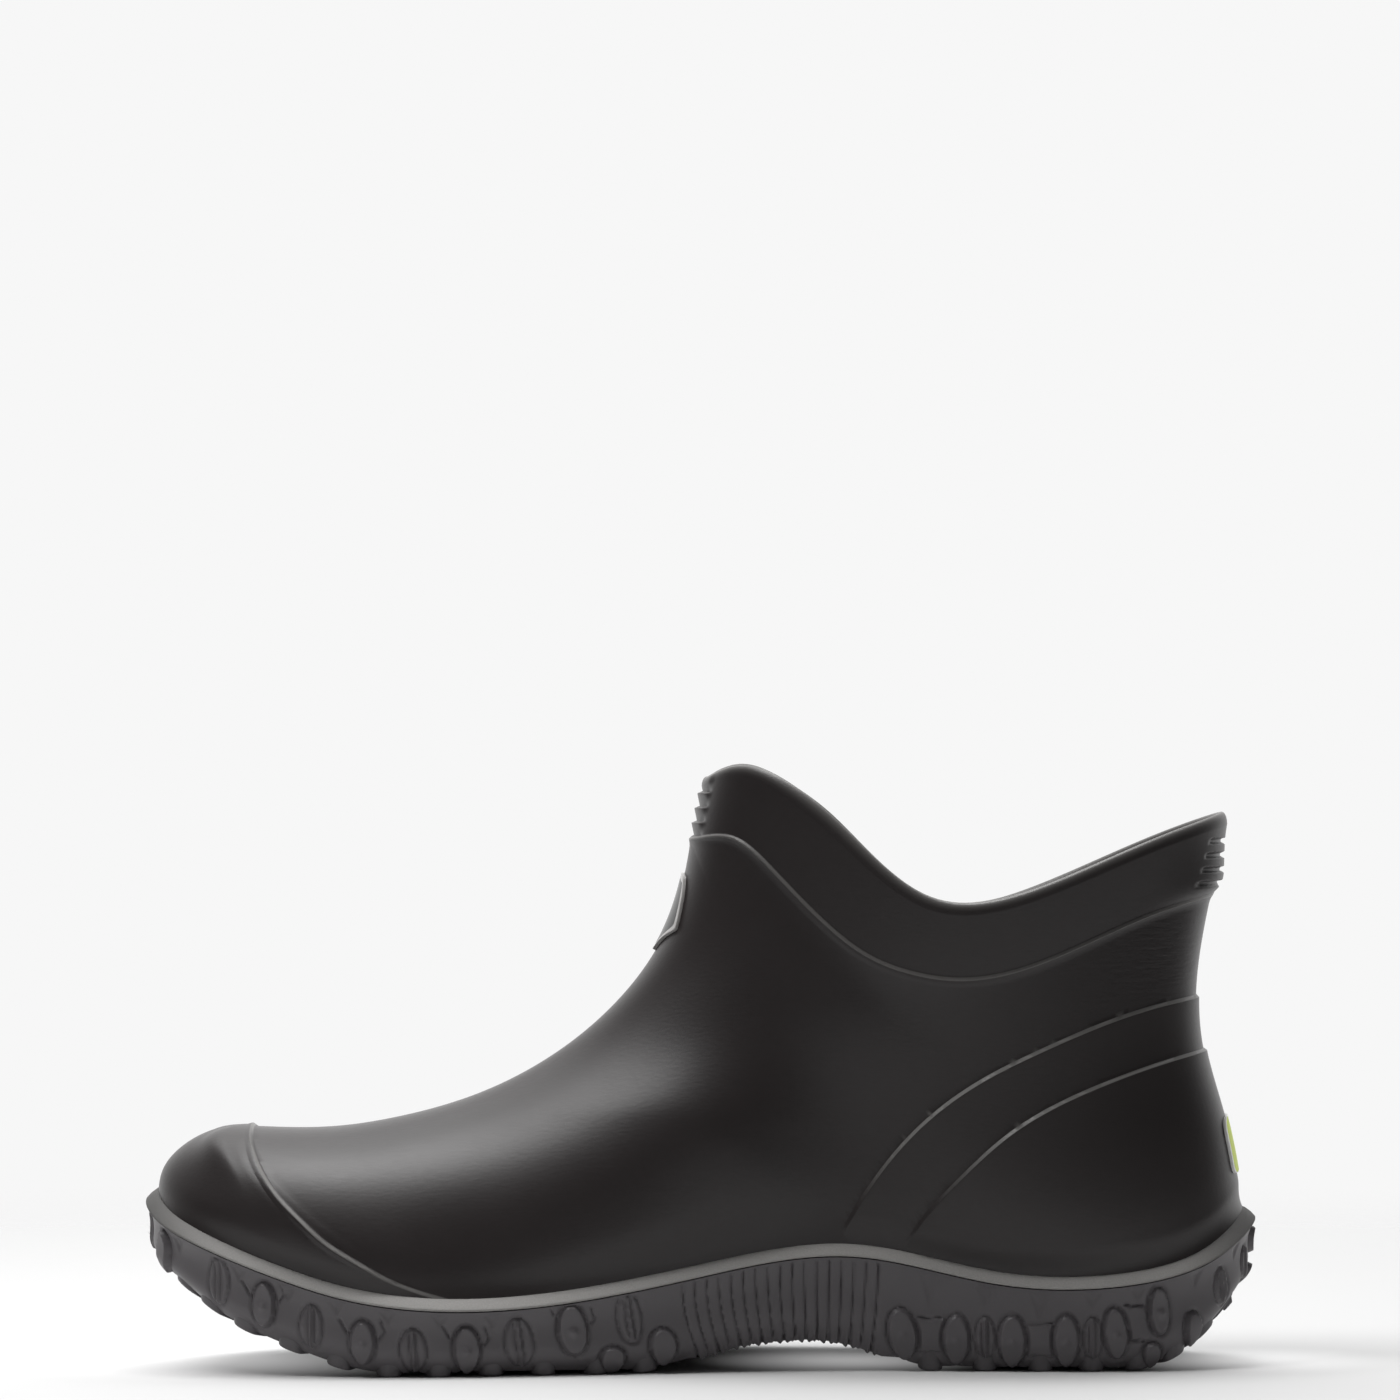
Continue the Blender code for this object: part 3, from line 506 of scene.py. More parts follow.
def outsole_side(side):
    """One half of the cup: its floor, rim, side wall with relief, and underside."""
    share = np.linspace(0, 1, WALL_COLUMNS + 1)
    down = np.linspace(0, 1, WALL_ROWS + 1)
    rim = welt_point(side, share, SIDE_WALL[0].inset, WELT_HEIGHT)
    foot = welt_point(side, share, SIDE_WALL[-1].inset)
    foot[:, 2] = np.minimum(between_lugs(*foot[:, :2].T), lug_tips(*foot[:, :2].T) + WALL_FOOT)
    wall = np.stack([welt_point(side, share, inset) for inset in INSET_AT.at(down)[:, 0]], axis=1)
    wall[..., 2] = rim[:, None, 2] + (foot - rim)[:, None, 2] * down
    along = np.broadcast_to(share[:, None] * HEEL_AT, wall.shape[:2])
    low = np.broadcast_to(down, wall.shape[:2])
    relief = side_relief(along, wall[..., 2], rim[:, None, 2] - wall[..., 2], low)
    lean = math.radians(FOOT_LEAN) * ramp(low, FOOT_FROM, 1.0)
    wall[..., :2] += outward(side, share)[:, None] * (relief * np.cos(lean))[..., None]
    wall[..., 2] -= relief * np.sin(lean)

    middle = (welt_point(INNER, share) + welt_point(OUTER, share)) / 2
    way = np.concatenate([[UNDER_FIRST], np.linspace(0, 1, UNDER_ROWS + 1)[1:]])[None, :, None]
    under = wall[:, -1:] + (middle - wall[:, -1])[:, None] * way
    under[..., 2] = between_lugs(under[..., 0], under[..., 1])
    inside = welt_point(side, share, RIM_WIDTH, WELT_HEIGHT)
    bed = welt_point(side, share, RIM_WIDTH + CUP_DRAFT)
    bed[:, 2] = cup_floor(bed[:, 0])
    centre = middle.copy()
    centre[:, 2] = cup_floor(centre[:, 0])
    rows = [centre[:, None], bed[:, None], inside[:, None], wall, under]
    return add_sheet("outsole_side", np.concatenate(rows, axis=1))


def places(piece):
    """Vertex places of a piece, in millimetres."""
    co = np.empty(len(piece.data.vertices) * 3, np.float32)
    piece.data.vertices.foreach_get("co", co)
    return co.reshape(-1, 3).astype(float) / MM


def move_to(piece, points):
    """Put the vertices of a piece at some places, in millimetres."""
    piece.data.vertices.foreach_set("co", (points * MM).ravel())
    piece.data.update()


def edge_ends(piece):
    """Numbers of the two vertices of each edge of a piece."""
    ends = np.empty(len(piece.data.edges) * 2, np.int32)
    piece.data.edges.foreach_get("vertices", ends)
    return ends.reshape(-1, 2)


def pick_edges(piece, wanted):
    """Open a piece for editing with only the edges of some numbers selected."""
    alone(piece)
    bpy.ops.object.mode_set(mode="EDIT")
    bpy.ops.mesh.select_mode(type="EDGE")
    bpy.ops.mesh.select_all(action="DESELECT")
    bpy.ops.object.mode_set(mode="OBJECT")
    for number in wanted:
        piece.data.edges[number].select = True
    bpy.ops.object.mode_set(mode="EDIT")


def model_lug():
    """One lug: a block with rounded corners and a softened tip."""
    bpy.ops.object.select_all(action="DESELECT")
    bpy.ops.mesh.primitive_cube_add(size=1.0)
    lug = bpy.context.object
    bpy.ops.transform.resize(value=(LUG_LENGTH * MM, LUG_WIDTH * MM, LUG_TALL * MM))
    bpy.ops.transform.translate(value=(0, 0, LUG_TALL * MM / 2))
    bpy.ops.object.transform_apply(location=True, rotation=True, scale=True)
    heights = places(lug)[edge_ends(lug), 2]
    pick_edges(lug, np.flatnonzero(np.ptp(heights, axis=1) > LUG_TALL / 2))
    bpy.ops.mesh.bevel(offset=LUG_CORNER * MM, segments=4)
    bpy.ops.object.mode_set(mode="OBJECT")
    heights = places(lug)[edge_ends(lug), 2]
    pick_edges(lug, np.flatnonzero(heights.max(axis=1) < LUG_SOFTEN / 2))
    bpy.ops.mesh.bevel(offset=LUG_SOFTEN * MM, segments=2)
    bpy.ops.object.mode_set(mode="OBJECT")
    return lug


def place_lug(lug, centre, along):
    """A copy of the lug under the sole, its length along a direction."""
    copy = lug.copy()
    copy.data = lug.data.copy()
    bpy.context.collection.objects.link(copy)
    co = places(copy)
    plan = centre + co[:, :1] * along + co[:, 1:2] * np.array((-along[1], along[0]))
    move_to(copy, np.column_stack([plan, lug_tips(*plan.T) + co[:, 2]]))
    return copy


lug = model_lug()
lugs = []
for side in SIDES:
    for along in EDGE_LUGS:
        share = along / HEEL_AT
        lugs.append(place_lug(lug, welt_point(side, share, EDGE_LUG_IN)[:2], outward(side, share)))
for rows in MIDDLE_LUGS:
    for share in np.linspace(rows.first, rows.last, rows.count):
        inner = welt_point(INNER, share, MIDDLE_LUG_IN)[:2]
        outer = welt_point(OUTER, share, MIDDLE_LUG_IN)[:2]
        width = np.linalg.norm(outer - inner)
        count = int(width // MIDDLE_LUG_PITCH)
        for k in range(count):
            lugs.append(place_lug(lug, inner + (outer - inner) * (k + 0.5) / count, (outer - inner) / width))
bpy.data.objects.remove(lug)
outsole = weld("outsole_moulded", *[outsole_side(side) for side in SIDES])
alone(outsole, *lugs)
bpy.ops.object.join()
bpy.ops.object.shade_smooth_by_angle(angle=math.radians(40))


class Wire:
    """An output of a material's node.  Arithmetic on wires adds Math nodes."""

    def __init__(self, tree, socket=None):
        self.tree = tree
        self.socket = socket

    def node(self, kind, settings=(), sockets=(), output=0):
        """A node of a kind: its settings are made first, then its sockets are set or linked."""
        made = self.tree.nodes.new("ShaderNode" + kind)
        for name, value in dict(settings).items():
            setattr(made, name, value)
        for name, value in dict(sockets).items():
            if isinstance(value, Wire):
                self.tree.links.new(value.socket, made.inputs[name])
            else:
                made.inputs[name].default_value = value
        return Wire(self.tree, made.outputs[output])

    def sum(self, operation, first, second):
        return self.node("Math", {"operation": operation}, {0: first, 1: second})

    def __add__(self, other):
        return self.sum("ADD", self, other)

    __radd__ = __add__

    def __sub__(self, other):
        return self.sum("SUBTRACT", self, other)

    def __rsub__(self, other):
        return self.sum("SUBTRACT", other, self)

    def __mul__(self, other):
        return self.sum("MULTIPLY", self, other)

    __rmul__ = __mul__

    def between(self, start, end):
        """Smooth rise from 0 where the value is start to 1 where it is end."""
        limits = {"Value": self, "From Min": start, "From Max": end}
        return self.node("MapRange", {"interpolation_type": "SMOOTHSTEP"}, limits)

    def noise(self, scale, detail=2.0, stretch=(1.0, 1.0, 1.0)):
        """Noise over this wire's coordinates, finer along the axes with a larger stretch."""
        placed = self.node("Mapping", {}, {"Vector": self, "Scale": stretch})
        return self.node("TexNoise", {}, {"Vector": placed, "Scale": scale, "Detail": detail})

    def tint(self, dark, light):
        """Colour between two others, by this wire's value."""
        return self.node("Mix", {"data_type": "RGBA"}, {0: self, 6: dark, 7: light}, output=2)

    def bump(self, distance, strength=1.0):
        return self.node("Bump", {}, {"Height": self, "Distance": distance * MM, "Strength": strength})


class Finish:
    """A material, its shader and the wire of its object coordinates."""

    def __init__(self, name, **values):
        self.material = bpy.data.materials.new(name)
        self.material.use_nodes = True
        self.tree = self.material.node_tree
        self.shader = self.tree.nodes["Principled BSDF"]
        self.coords = Wire(self.tree).node("TexCoord", output=3)
        for name, value in values.items():
            self.shader.inputs[name.replace("_", " ")].default_value = value

    def axis(self, number):
        """One axis of the object coordinates."""
        return self.coords.node("SeparateXYZ", {}, {0: self.coords}, output=number)

    def feed(self, **wires):
        for name, wire in wires.items():
            self.tree.links.new(wire.socket, self.shader.inputs[name.replace("_", " ")])


def dress(piece, body, slot, node, *finishes):
    """Give a piece its finishes, tie it to its body and hide the solid that it stands in for; the slot is not
    used.
    """
    for finish in finishes:
        piece.data.materials.append(finish.material)
    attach(piece, body)
    if node:
        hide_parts(node)


sole_rubber = Finish("charcoal_sole_rubber", Roughness=0.5, Specular_IOR_Level=0.5)
cloud = sole_rubber.coords.noise(60, 3.0)
pores = sole_rubber.coords.noise(2600, 2.0)
sole_rubber.feed(
    Base_Color=(cloud * 0.7 + pores * 0.3).tint((0.079, 0.073, 0.078, 1), (0.112, 0.104, 0.110, 1)),
    Roughness=0.42 + cloud * 0.12,
    Normal=pores.bump(0.05, 0.4),
)
dress(outsole, "root", "outsole", "outsole", sole_rubber)

# Insole
# A foam footbed with a dark knitted cover, laid loose in the cup of the sole.  Its edge turns up a little
# where it meets the wall.
SEAT_GAP = 0.3
INSOLE_THICK = 4.0
INSOLE_INSET = 8.6
INSOLE_COLUMNS = 90
INSOLE_CELLS = 24
INSOLE_CURL = 1.6
CURL_POWER = 6


def facings(piece):
    """Directions that the vertices of a piece face."""
    out = np.empty(len(piece.data.vertices) * 3, np.float32)
    piece.data.vertex_normals.foreach_get("vector", out)
    return out.reshape(-1, 3).astype(float)


def thicken(piece, thick):
    """Give a sheet its thickness, on the side that it turns away."""
    plate = piece.modifiers.new("thickness", "SOLIDIFY")
    plate.thickness = thick * MM
    plate.offset = -1
    alone(piece)
    bpy.ops.object.modifier_apply(modifier="thickness")
    bpy.ops.object.shade_smooth_by_angle(angle=math.radians(50))


share = np.linspace(0, 1, INSOLE_COLUMNS + 1)
edge_in, edge_out = (welt_point(side, share, INSOLE_INSET) for side in SIDES)
way = np.linspace(0, 1, INSOLE_CELLS + 1)[None, :, None]
bed = edge_in[:, None] + (edge_out - edge_in)[:, None] * way
near_edge = np.abs(2 * way[..., 0] - 1) ** CURL_POWER
bed[..., 2] = cup_floor(bed[..., 0]) + SEAT_GAP + INSOLE_THICK + INSOLE_CURL * near_edge - INSOLE_CURL / 2
insole = weld("insole_footbed", add_sheet("insole_footbed", bed))
if facings(insole)[:, 2].mean() < 0:
    insole.data.flip_normals()
thicken(insole, INSOLE_THICK - INSOLE_CURL / 2)
knit = Finish("dark_knitted_cover", Roughness=0.95, Sheen_Weight=0.25, Specular_IOR_Level=0.2)
loops = knit.coords.node("TexVoronoi", {}, {"Vector": knit.coords, "Scale": 900.0})
wear = knit.coords.noise(45, 3.0)
knit.feed(
    Base_Color=(wear * 0.6 + loops * 0.4).tint((0.020, 0.020, 0.022, 1), (0.050, 0.050, 0.053, 1)),
    Normal=loops.bump(0.25, 0.7),
)
dress(insole, "root", "insole", "insole", knit)

# Upper
# One moulding of satin black rubber over the last.  The toe cap, the heel counter and the flared cuff are
# thicker steps of its wall, the cuff is ribbed in front and behind, and its rim is rolled over.
WALL = 3.0
WELT_REACH = 3.4
CAP_SHARE = 0.297
CUFF_SHARE = 0.62
SEAM_FROM = 0.5
SPLIT = 80.0
RIM_ROLL = 2.6
ROLL_STEPS = 11
INSIDE_ROWS = 22
INSIDE_CUFF_ROWS = 6

# Ridge from the top of the toe along the vamp and instep to the front of the cuff
RIDGE = table(
    "x y z",
    (-122.9, -11, 64.2),
    (-100, -9.8, 64),
    (-82, -8.8, 66.7),
    (-62, -7.6, 72.4),
    (-41.2, -6.4, 82.9),
    (-23.4, -4.8, 97.6),
    (-11.6, -3.5, 113.6),
    (-5.3, -2.5, 130.4),
    (-3.2, -2, 141.5),
)

# Cross sections by their share along the welt: how square each side is, how far the section sweeps back
# low down, how round the toe is in profile, how far it fans forward, and which bow its wall takes
SECTIONS = table(
    "share inner_round outer_round sweep dome fan side_bow back_bow vamp_bow",
    (0, 1.90, 1.90, 1.20, 1, 0, 0, 0, 0),
    (0.035, 1.96, 1.96, 1.28, 0.90, 5, 0.1, 0, 0),
    (0.070, 2.06, 2.04, 1.35, 0.65, 15, 0.2, 0, 0),
    (0.105, 2.22, 2.10, 1.38, 0.35, 19.6, 0.3, 0, 0),
    (0.140, 2.28, 2.12, 1.40, 0.10, 18.2, 0.3, 0, 0),
    (0.180, 2.28, 2.16, 1.40, 0, 13.5, 0.3, 0, 0),
    (0.220, 2.31, 2.20, 1.40, 0, 8.4, 0.3, 0, 0),
    (0.260, 2.32, 2.20, 1.40, 0, 3.5, 0.3, 0, 0),
    (0.300, 2.31, 2.20, 1.40, 0, 0, 0.4, 0, 0),
    (0.380, 2.22, 2.10, 1.30, 0, 0, 0.7, 0, 0.4),
    (0.460, 2.14, 2, 1.15, 0, 0, 1, 0, 1),
    (0.540, 2.08, 2, 1.05, 0, 0, 1, 0, 1.2),
    (0.620, 2.10, 2, 1, 0, 0, 0.8, 0, 0.3),
    (0.720, 1.70, 1.70, 1, 0, 0, 0.7, 0, 0),
    (0.860, 1.20, 1.20, 1, 0, 0, 0.6, 0.4, 0),
    (1, 1, 1, 1, 0, 0, 0, 1, 0),
)
FAN_POWER = 4

# Bow of the wall between welt and cuff, outward positive, by the share of the rise
BOWS = table(
    "rise side back vamp",
    (0, 0, 0, 0),
    (0.05, 0.2, -1.6, 0.3),
    (0.14, 1.3, -2.7, 1.2),
    (0.30, 2.2, -4.4, 2.3),
    (0.50, 2, -7.5, 3.4),
    (0.65, 1.6, -7.5, 2.9),
    (0.84, 0.9, -4.2, 0.9),
    (1, 0, 0, 0),
)

# Cuff seam and rim along the shaft, from front to back
SHAFT = table(
    "share cuff rim outer_dip",
    (0, 141.5, 158.6, 0),
    (0.03, 142.3, 160.8, 0),
    (0.08, 142.2, 161.8, 0.1),
    (0.16, 133, 156.9, 0.3),
    (0.24, 121.5, 148, -0.4),
    (0.32, 112.3, 137, -0.2),
    (0.42, 106.5, 127.1, 1),
    (0.52, 104.9, 125.6, 2.4),
    (0.64, 108.2, 130.2, 2.6),
    (0.78, 116.3, 138.3, 2.1),
    (0.90, 123, 144.8, 1.1),
    (1, 126.6, 149.2, 0),
)

# Plan of the shaft at the cuff seam and at the rim
CUFF_OVAL, RIM_OVAL = table("front back half_width", (-3.2, 138.0, 39.9), (0.2, 143.0, 43.3))

# Swell of the cuff's back, by the share of the cuff's height
BACK_SWELL = table(
    "share out",
    (0, 0),
    (0.08, 1.5),
    (0.17, 2.2),
    (0.32, 1.9),
    (0.50, 1.1),
    (0.73, 0.3),
    (1, 0),
)

# Upper and lower lines of the heel counter, in the side view
COUNTER_HIGH = table(
    "x z",
    (30, 22),
    (36.9, 37.2),
    (45.4, 51.4),
    (65.9, 72.8),
    (89.7, 86.1),
    (117.5, 96.6),
    (136, 100),
    (150, 101),
)
COUNTER_LOW = table(
    "x z",
    (47, 22),
    (55, 36.2),
    (67.8, 51.5),
    (79.2, 62.2),
    (92.6, 70.9),
    (108.8, 77.9),
    (136, 85.2),
    (150, 86.5),
)

# Edge of the toe cap, in the side view, from the welt up and over the toe
CAP_EDGE = table(
    "x z",
    (-62, 19.6),
    (-70.4, 21.9),
    (-80.8, 25.5),
    (-89.3, 29.9),
    (-98.2, 35.2),
    (-105.4, 41.2),
    (-111.6, 47.2),
    (-115.9, 52.7),
    (-118.9, 57.9),
    (-120.6, 64),
    (-121, 70),
)

# Rise of the wall across each edge: at the cap and the counter by the distance inside it, at the cuff by
# the distance above its seam
CAP_STEPS = table("across rise", (0.0, 0.0), (0.12, 0.12), (1.1, 0.8), (1.25, 0.86), (1.45, 0.84), (2.4, 0.5))
COUNTER_STEPS = table("across rise", (0.0, 0.0), (0.1, 0.05), (0.85, 0.82), (1.0, 0.88), (1.3, 0.88))
CUFF_STEPS = table("across rise", (-2.0, 0.0), (-1.0, 0.16), (-0.4, 0.42), (-0.05, 0.55), (0.12, 0.53),
                   (0.7, 0.1), (0.9, 0.06))
STEP_RUN_OUT = 8.0
SCORE_SNAP = 0.06

# How bright a painted highlight each moulded edge gets, standing in for the light its ledge catches, and the
# distances across it between which it is painted
CAP_HIGHLIGHT_PAINT = 0.6
CUFF_HIGHLIGHT_PAINT = 0.36
COUNTER_HIGHLIGHT_PAINT = 1.0
RIM_HIGHLIGHT_PAINT = 0.42
HIGHLIGHT_PAINT_SHAPE = (0, 1, 1, 0)
CAP_HIGHLIGHT_AT = (0.1, 0.4, 1.0, 1.3)
CUFF_HIGHLIGHT_AT = (-0.35, 0.0, 0.5, 0.8)
COUNTER_HIGHLIGHT_AT = (0.0, 0.15, 0.8, 1.0)
COUNTER_HIGHLIGHT_FADE = (42.0, 68.0)

# Half width of the shaft below the cuff seam, by height, which rounds its front
NECK = table(
    "z half_width",
    (45, 36),
    (60, 36.6),
    (75, 37.4),
    (90, 38.4),
    (108, 39.5),
    (145, 39.9),
)
NECK_MIDDLE = 70.0
NECK_FROM_FRONT = 68.0
NECK_FROM_BACK = 48.0
NECK_FULL = 100.0
NECK_TURN = (-10.0, 30.0)
NECK_END = (80.0, 40.0)

# Swell of the instep above the waist
INSTEP_X = 8.0
INSTEP_Z = 68.0
INSTEP_LONG = 21.0
INSTEP_TALL = 22.0
INSTEP_OUT = 2.8

# Ledges across the front of the cuff and slots across its back, by height
FRONT_LEDGES = (142.4, 146.3, 150.3, 154.3, 158.3)
BACK_SLOTS = (129.6, 133.4, 137.3, 141.1)
LEDGE_DEEP = 1.7
LEDGE_SOFT = 0.12
LEDGE_RUN_OUT = 0.8
SLOT_DEEP = 1.2
SLOT_FLOOR = (-0.9, -0.3)
SLOT_EDGE = (0.95, 0.5)
FRONT_LEDGE_END = (-1.0, 2.3)
BACK_SLOT_END = (134.1, 137.5)

RIDGE_LINE = Curve(columns(RIDGE, "x", "y", "z"))
SECTION_AT = lookup(SECTIONS, "share", *SECTIONS[0]._fields[1:])
BOW_AT = lookup(BOWS, "rise", "side", "back", "vamp")
SHAFT_AT = lookup(SHAFT, "share", "cuff", "rim", "outer_dip")
RIDGE_FINE = RIDGE_LINE.at(np.linspace(RIDGE_LINE.knots[2], RIDGE_LINE.knots[-1], 600))
BACK_SWELL_AT = lookup(BACK_SWELL, "share", "out")
NECK_AT = lookup(NECK, "z", "half_width")
CAP_AT = lookup(CAP_EDGE, "z", "x")
COUNTER_LINES = [lookup(rows, "x", "z") for rows in (COUNTER_HIGH, COUNTER_LOW)]


def shaft_ring(side, turn, height):
    """Points round the shaft: turn 0 is its front, pi its back; height 0 is the cuff seam, 1 the rim."""
    along = (1 - np.cos(turn)) / 2
    cuff, rim, dip = np.moveaxis(SHAFT_AT.at(along), -1, 0)
    if side == OUTER:
        cuff, rim = cuff - dip, rim - dip
    front, back, half = (a + (b - a) * height for a, b in zip(CUFF_OVAL, RIM_OVAL))
    x = front + (back - front) * along + BACK_SWELL_AT.at(height)[..., 0] * ramp(along, 0.84, 1.0)
    y = RIDGE[-1].y * (1 - along) + side * half * np.sin(turn).clip(0)
    return np.stack([x, y, cuff + (rim - cuff) * height], axis=-1)


def shaft_turn(share):
    """Turn round the shaft of the column at a share along the welt."""
    return math.pi * np.clip((share - CUFF_SHARE) / (1 - CUFF_SHARE), 0, 1)


def column_top(side, share):
    """Upper end of each column: the toe top, the ridge, or the cuff seam."""
    up = np.clip((share - CAP_SHARE) / (CUFF_SHARE - CAP_SHARE), 0, 1)
    ridge = RIDGE_LINE.at(up * RIDGE_LINE.knots[-1])
    seam = shaft_ring(side, shaft_turn(share), 0.0)
    return np.where((share > CUFF_SHARE)[:, None], seam, ridge)


def neck(side, height, x, z, top):
    """Place across of the shaft's rounded front, drawn in to the top of each column."""
    ridge_x, ridge_y = (np.interp(z, RIDGE_FINE[:, 2], RIDGE_FINE[:, k]) for k in range(2))
    t = np.clip((NECK_MIDDLE - x) / (NECK_MIDDLE - ridge_x), 0, 1)
    y = ridge_y + (side * NECK_AT.at(z)[..., 0] - ridge_y) * np.sqrt(1 - t * t)
    return y + (top - y[:, -1:]) * ramp(height, 0.6, 1.0)


def upper_wall(side, share, height):
    """Outer face of one side of the upper: a column for each share, a row for each height."""
    foot = welt_point(side, share, WELT_REACH)
    top = column_top(side, share)
    section = dict(zip(SECTIONS[0]._fields[1:], SECTION_AT.at(share).T[:, :, None]))
    power = 2 / section["inner_round" if side == INNER else "outer_round"]
    height = np.broadcast_to(height, (len(share), np.shape(height)[-1]))
    angle = height * math.pi / 2
    rise = np.sin(angle) ** power
    close = np.cos(angle).clip(0) ** power
    dome = section["dome"].clip(0, 1)
    lean = dome * close + (1 - dome) * (1 - rise).clip(0) ** section["sweep"]
    fan = np.where(share < CAP_SHARE, section["fan"][:, 0], 0)[:, None] * close * rise ** FAN_POWER
    side_bow, back_bow, vamp_bow = np.moveaxis(BOW_AT.at(rise), -1, 0)
    bow = section["side_bow"] * side_bow + section["back_bow"] * back_bow + section["vamp_bow"] * vamp_bow
    out = outward(side, share)
    x = top[:, :1] + (foot - top)[:, :1] * lean + out[:, :1] * bow - fan
    y = top[:, 1:2] + (foot - top)[:, 1:2] * close + out[:, 1:] * bow
    z = foot[:, 2:] + (top - foot)[:, 2:] * rise
    near_ridge = np.where(share[:, None] > CUFF_SHARE, 1, ramp(height, 1.0, 0.98))
    low = NECK_FROM_FRONT + (NECK_FROM_BACK - NECK_FROM_FRONT) * ramp(x, *NECK_TURN)
    rounding = near_ridge * ramp(z, low, NECK_FULL) * ramp(x, *NECK_END)
    y += (neck(side, height, x, z, top[:, 1:2]) - y) * rounding
    swell = INSTEP_OUT * bell(x - INSTEP_X, INSTEP_LONG) * bell(z - INSTEP_Z, INSTEP_TALL)
    y += side * swell * ramp(height, 1.0, 0.9)
    return np.stack([x, y, z], axis=2)


def mark(sheet, name, values):
    """Keep a value for each vertex of a sheet."""
    layer = sheet.data.attributes.new(name, "FLOAT", "POINT")
    layer.data.foreach_set("value", np.ascontiguousarray(values, dtype=np.float32).ravel())


def read(piece, name):
    """Values kept for the vertices of a piece."""
    values = np.empty(len(piece.data.vertices), np.float32)
    piece.data.attributes[name].data.foreach_get("value", values)
    return values.astype(float)


def upper_skin(name, share, heights, cuff_heights):
    """Plain skin of the upper from its foot to the rim, welded along ridge, toe and heel."""
    sheets = []
    on_shaft = share >= CUFF_SHARE - 1e-9
    for side in SIDES:
        foot = welt_point(side, share, WELT_REACH, WELT_HEIGHT - SEAT_GAP)
        wall = np.concatenate([foot[:, None], upper_wall(side, share, heights)], axis=1)
        cuff = [shaft_ring(side, shaft_turn(share[on_shaft]), height) for height in cuff_heights]
        for points, at, high in ((wall, share, 0.0), (np.stack(cuff, axis=1), share[on_shaft], cuff_heights)):
            sheets.append(add_sheet(name, points))
            mark(sheets[-1], "share", np.broadcast_to(at[:, None], points.shape[:2]))
            mark(sheets[-1], "cuff", np.broadcast_to(high, points.shape[:2]))
    return weld(name, *sheets)


def slant(line, at):
    """How much a line of the side view leans at some places."""
    return np.hypot(1, (line.at(at + 0.5) - line.at(at - 0.5))[..., 0])


def inside_cap(co):
    """Distance inside the edge of the toe cap."""
    x, _, z = co.T
    return (CAP_AT.at(z)[:, 0] - x) / slant(CAP_AT, z)


def inside_counter(line):
    """Distance below a line of the heel counter, as a function of places."""
    return lambda co: (line.at(co[:, 0])[:, 0] - co[:, 2]) / slant(line, co[:, 0])


def above_seam(co):
    """Distance above the seam of the cuff."""
    x, y, z = co.T
    along = np.clip((x - CUFF_OVAL.front) / (CUFF_OVAL.back - CUFF_OVAL.front), 0, 1)
    seam, _, dip = np.moveaxis(SHAFT_AT.at(along), -1, 0)
    seam = seam - np.where(y > 0, dip, 0)
    near = np.clip(along + 0.01, 0, 1)
    run = (SHAFT_AT.at(near)[:, 0] - SHAFT_AT.at(along)[:, 0]) / (CUFF_OVAL.back - CUFF_OVAL.front) / 0.01
    return (z - seam) / np.hypot(1, run)


def climb(steps, across):
    """Rise of a wall across an edge."""
    return np.interp(across, *columns(steps, "across", "rise").T)


def score(piece, inside, steps):
    """Cut the faces of a piece along the steps of an edge, so that its ledge is clean."""
    bm = bmesh.new()
    bm.from_mesh(piece.data)
    for step in steps:
        below = inside(np.array([v.co for v in bm.verts]) / MM) - step.across
        marked = dict.fromkeys(v for v, b in zip(bm.verts, below) if abs(b) < SCORE_SNAP)
        side_of = dict(zip(bm.verts, below))
        for edge in list(bm.edges):
            start, end = edge.verts
            a, b = side_of[start], side_of[end]
            if a * b < 0 and start not in marked and end not in marked:
                marked[bmesh.utils.edge_split(edge, start, a / (a - b))[1]] = None
        for face in dict.fromkeys(f for v in marked for f in v.link_faces):
            on_line = [v for v in face.verts if v in marked]
            if len(on_line) == 2 and not bm.edges.get(on_line):
                bmesh.utils.face_split(face, on_line[0], on_line[1])
    bm.to_mesh(piece.data)
    bm.free()


def ledges(z, levels):
    """Steps between ledges at some levels: -1 just above a ledge, rising evenly to 1 below the next."""
    step = np.full_like(z, 0.0)
    for low, high in zip(levels, levels[1:]):
        t = (z - low) / (high - low)
        step += ramp(t, 0.0, LEDGE_SOFT) * ramp(t, 1.0, 1.0 - LEDGE_SOFT) * (2 * t - 1)
    return step


def slots(z, levels):
    """Slots at some levels, each with a sloping floor below and a sharp edge above."""
    return -sum(ramp(z - level, *SLOT_FLOOR) * ramp(z - level, *SLOT_EDGE) for level in levels)


def wall_step(co, share, cuff):
    """How far the overlays, beads and ledges move the outer face."""
    x, _, z = co.T
    on_wall = cuff <= 0
    step = np.where(on_wall & (share < CUFF_SHARE), climb(CAP_STEPS, inside_cap(co)), 0)
    step += np.where(share > SEAM_FROM, climb(CUFF_STEPS, above_seam(co)), 0)
    for line in COUNTER_LINES:
        step += np.where(on_wall & (share > CUFF_SHARE), climb(COUNTER_STEPS, inside_counter(line)(co)), 0)
    front = np.interp(z, (FRONT_LEDGES[0], FRONT_LEDGES[-1]), FRONT_LEDGE_END)
    back = np.interp(z, (BACK_SLOTS[0], BACK_SLOTS[-1]), BACK_SLOT_END)
    ahead = LEDGE_DEEP / 2 * ramp(x, front + LEDGE_RUN_OUT, front) * ledges(z, FRONT_LEDGES)
    behind = SLOT_DEEP * ramp(x, back - LEDGE_RUN_OUT, back) * slots(z, BACK_SLOTS)
    step += np.where(on_wall, 0, ahead + behind)
    foot = welt_point(INNER, np.clip(share, 0, 1))[:, 2]
    return step * ramp(z - foot, 0.0, STEP_RUN_OUT)


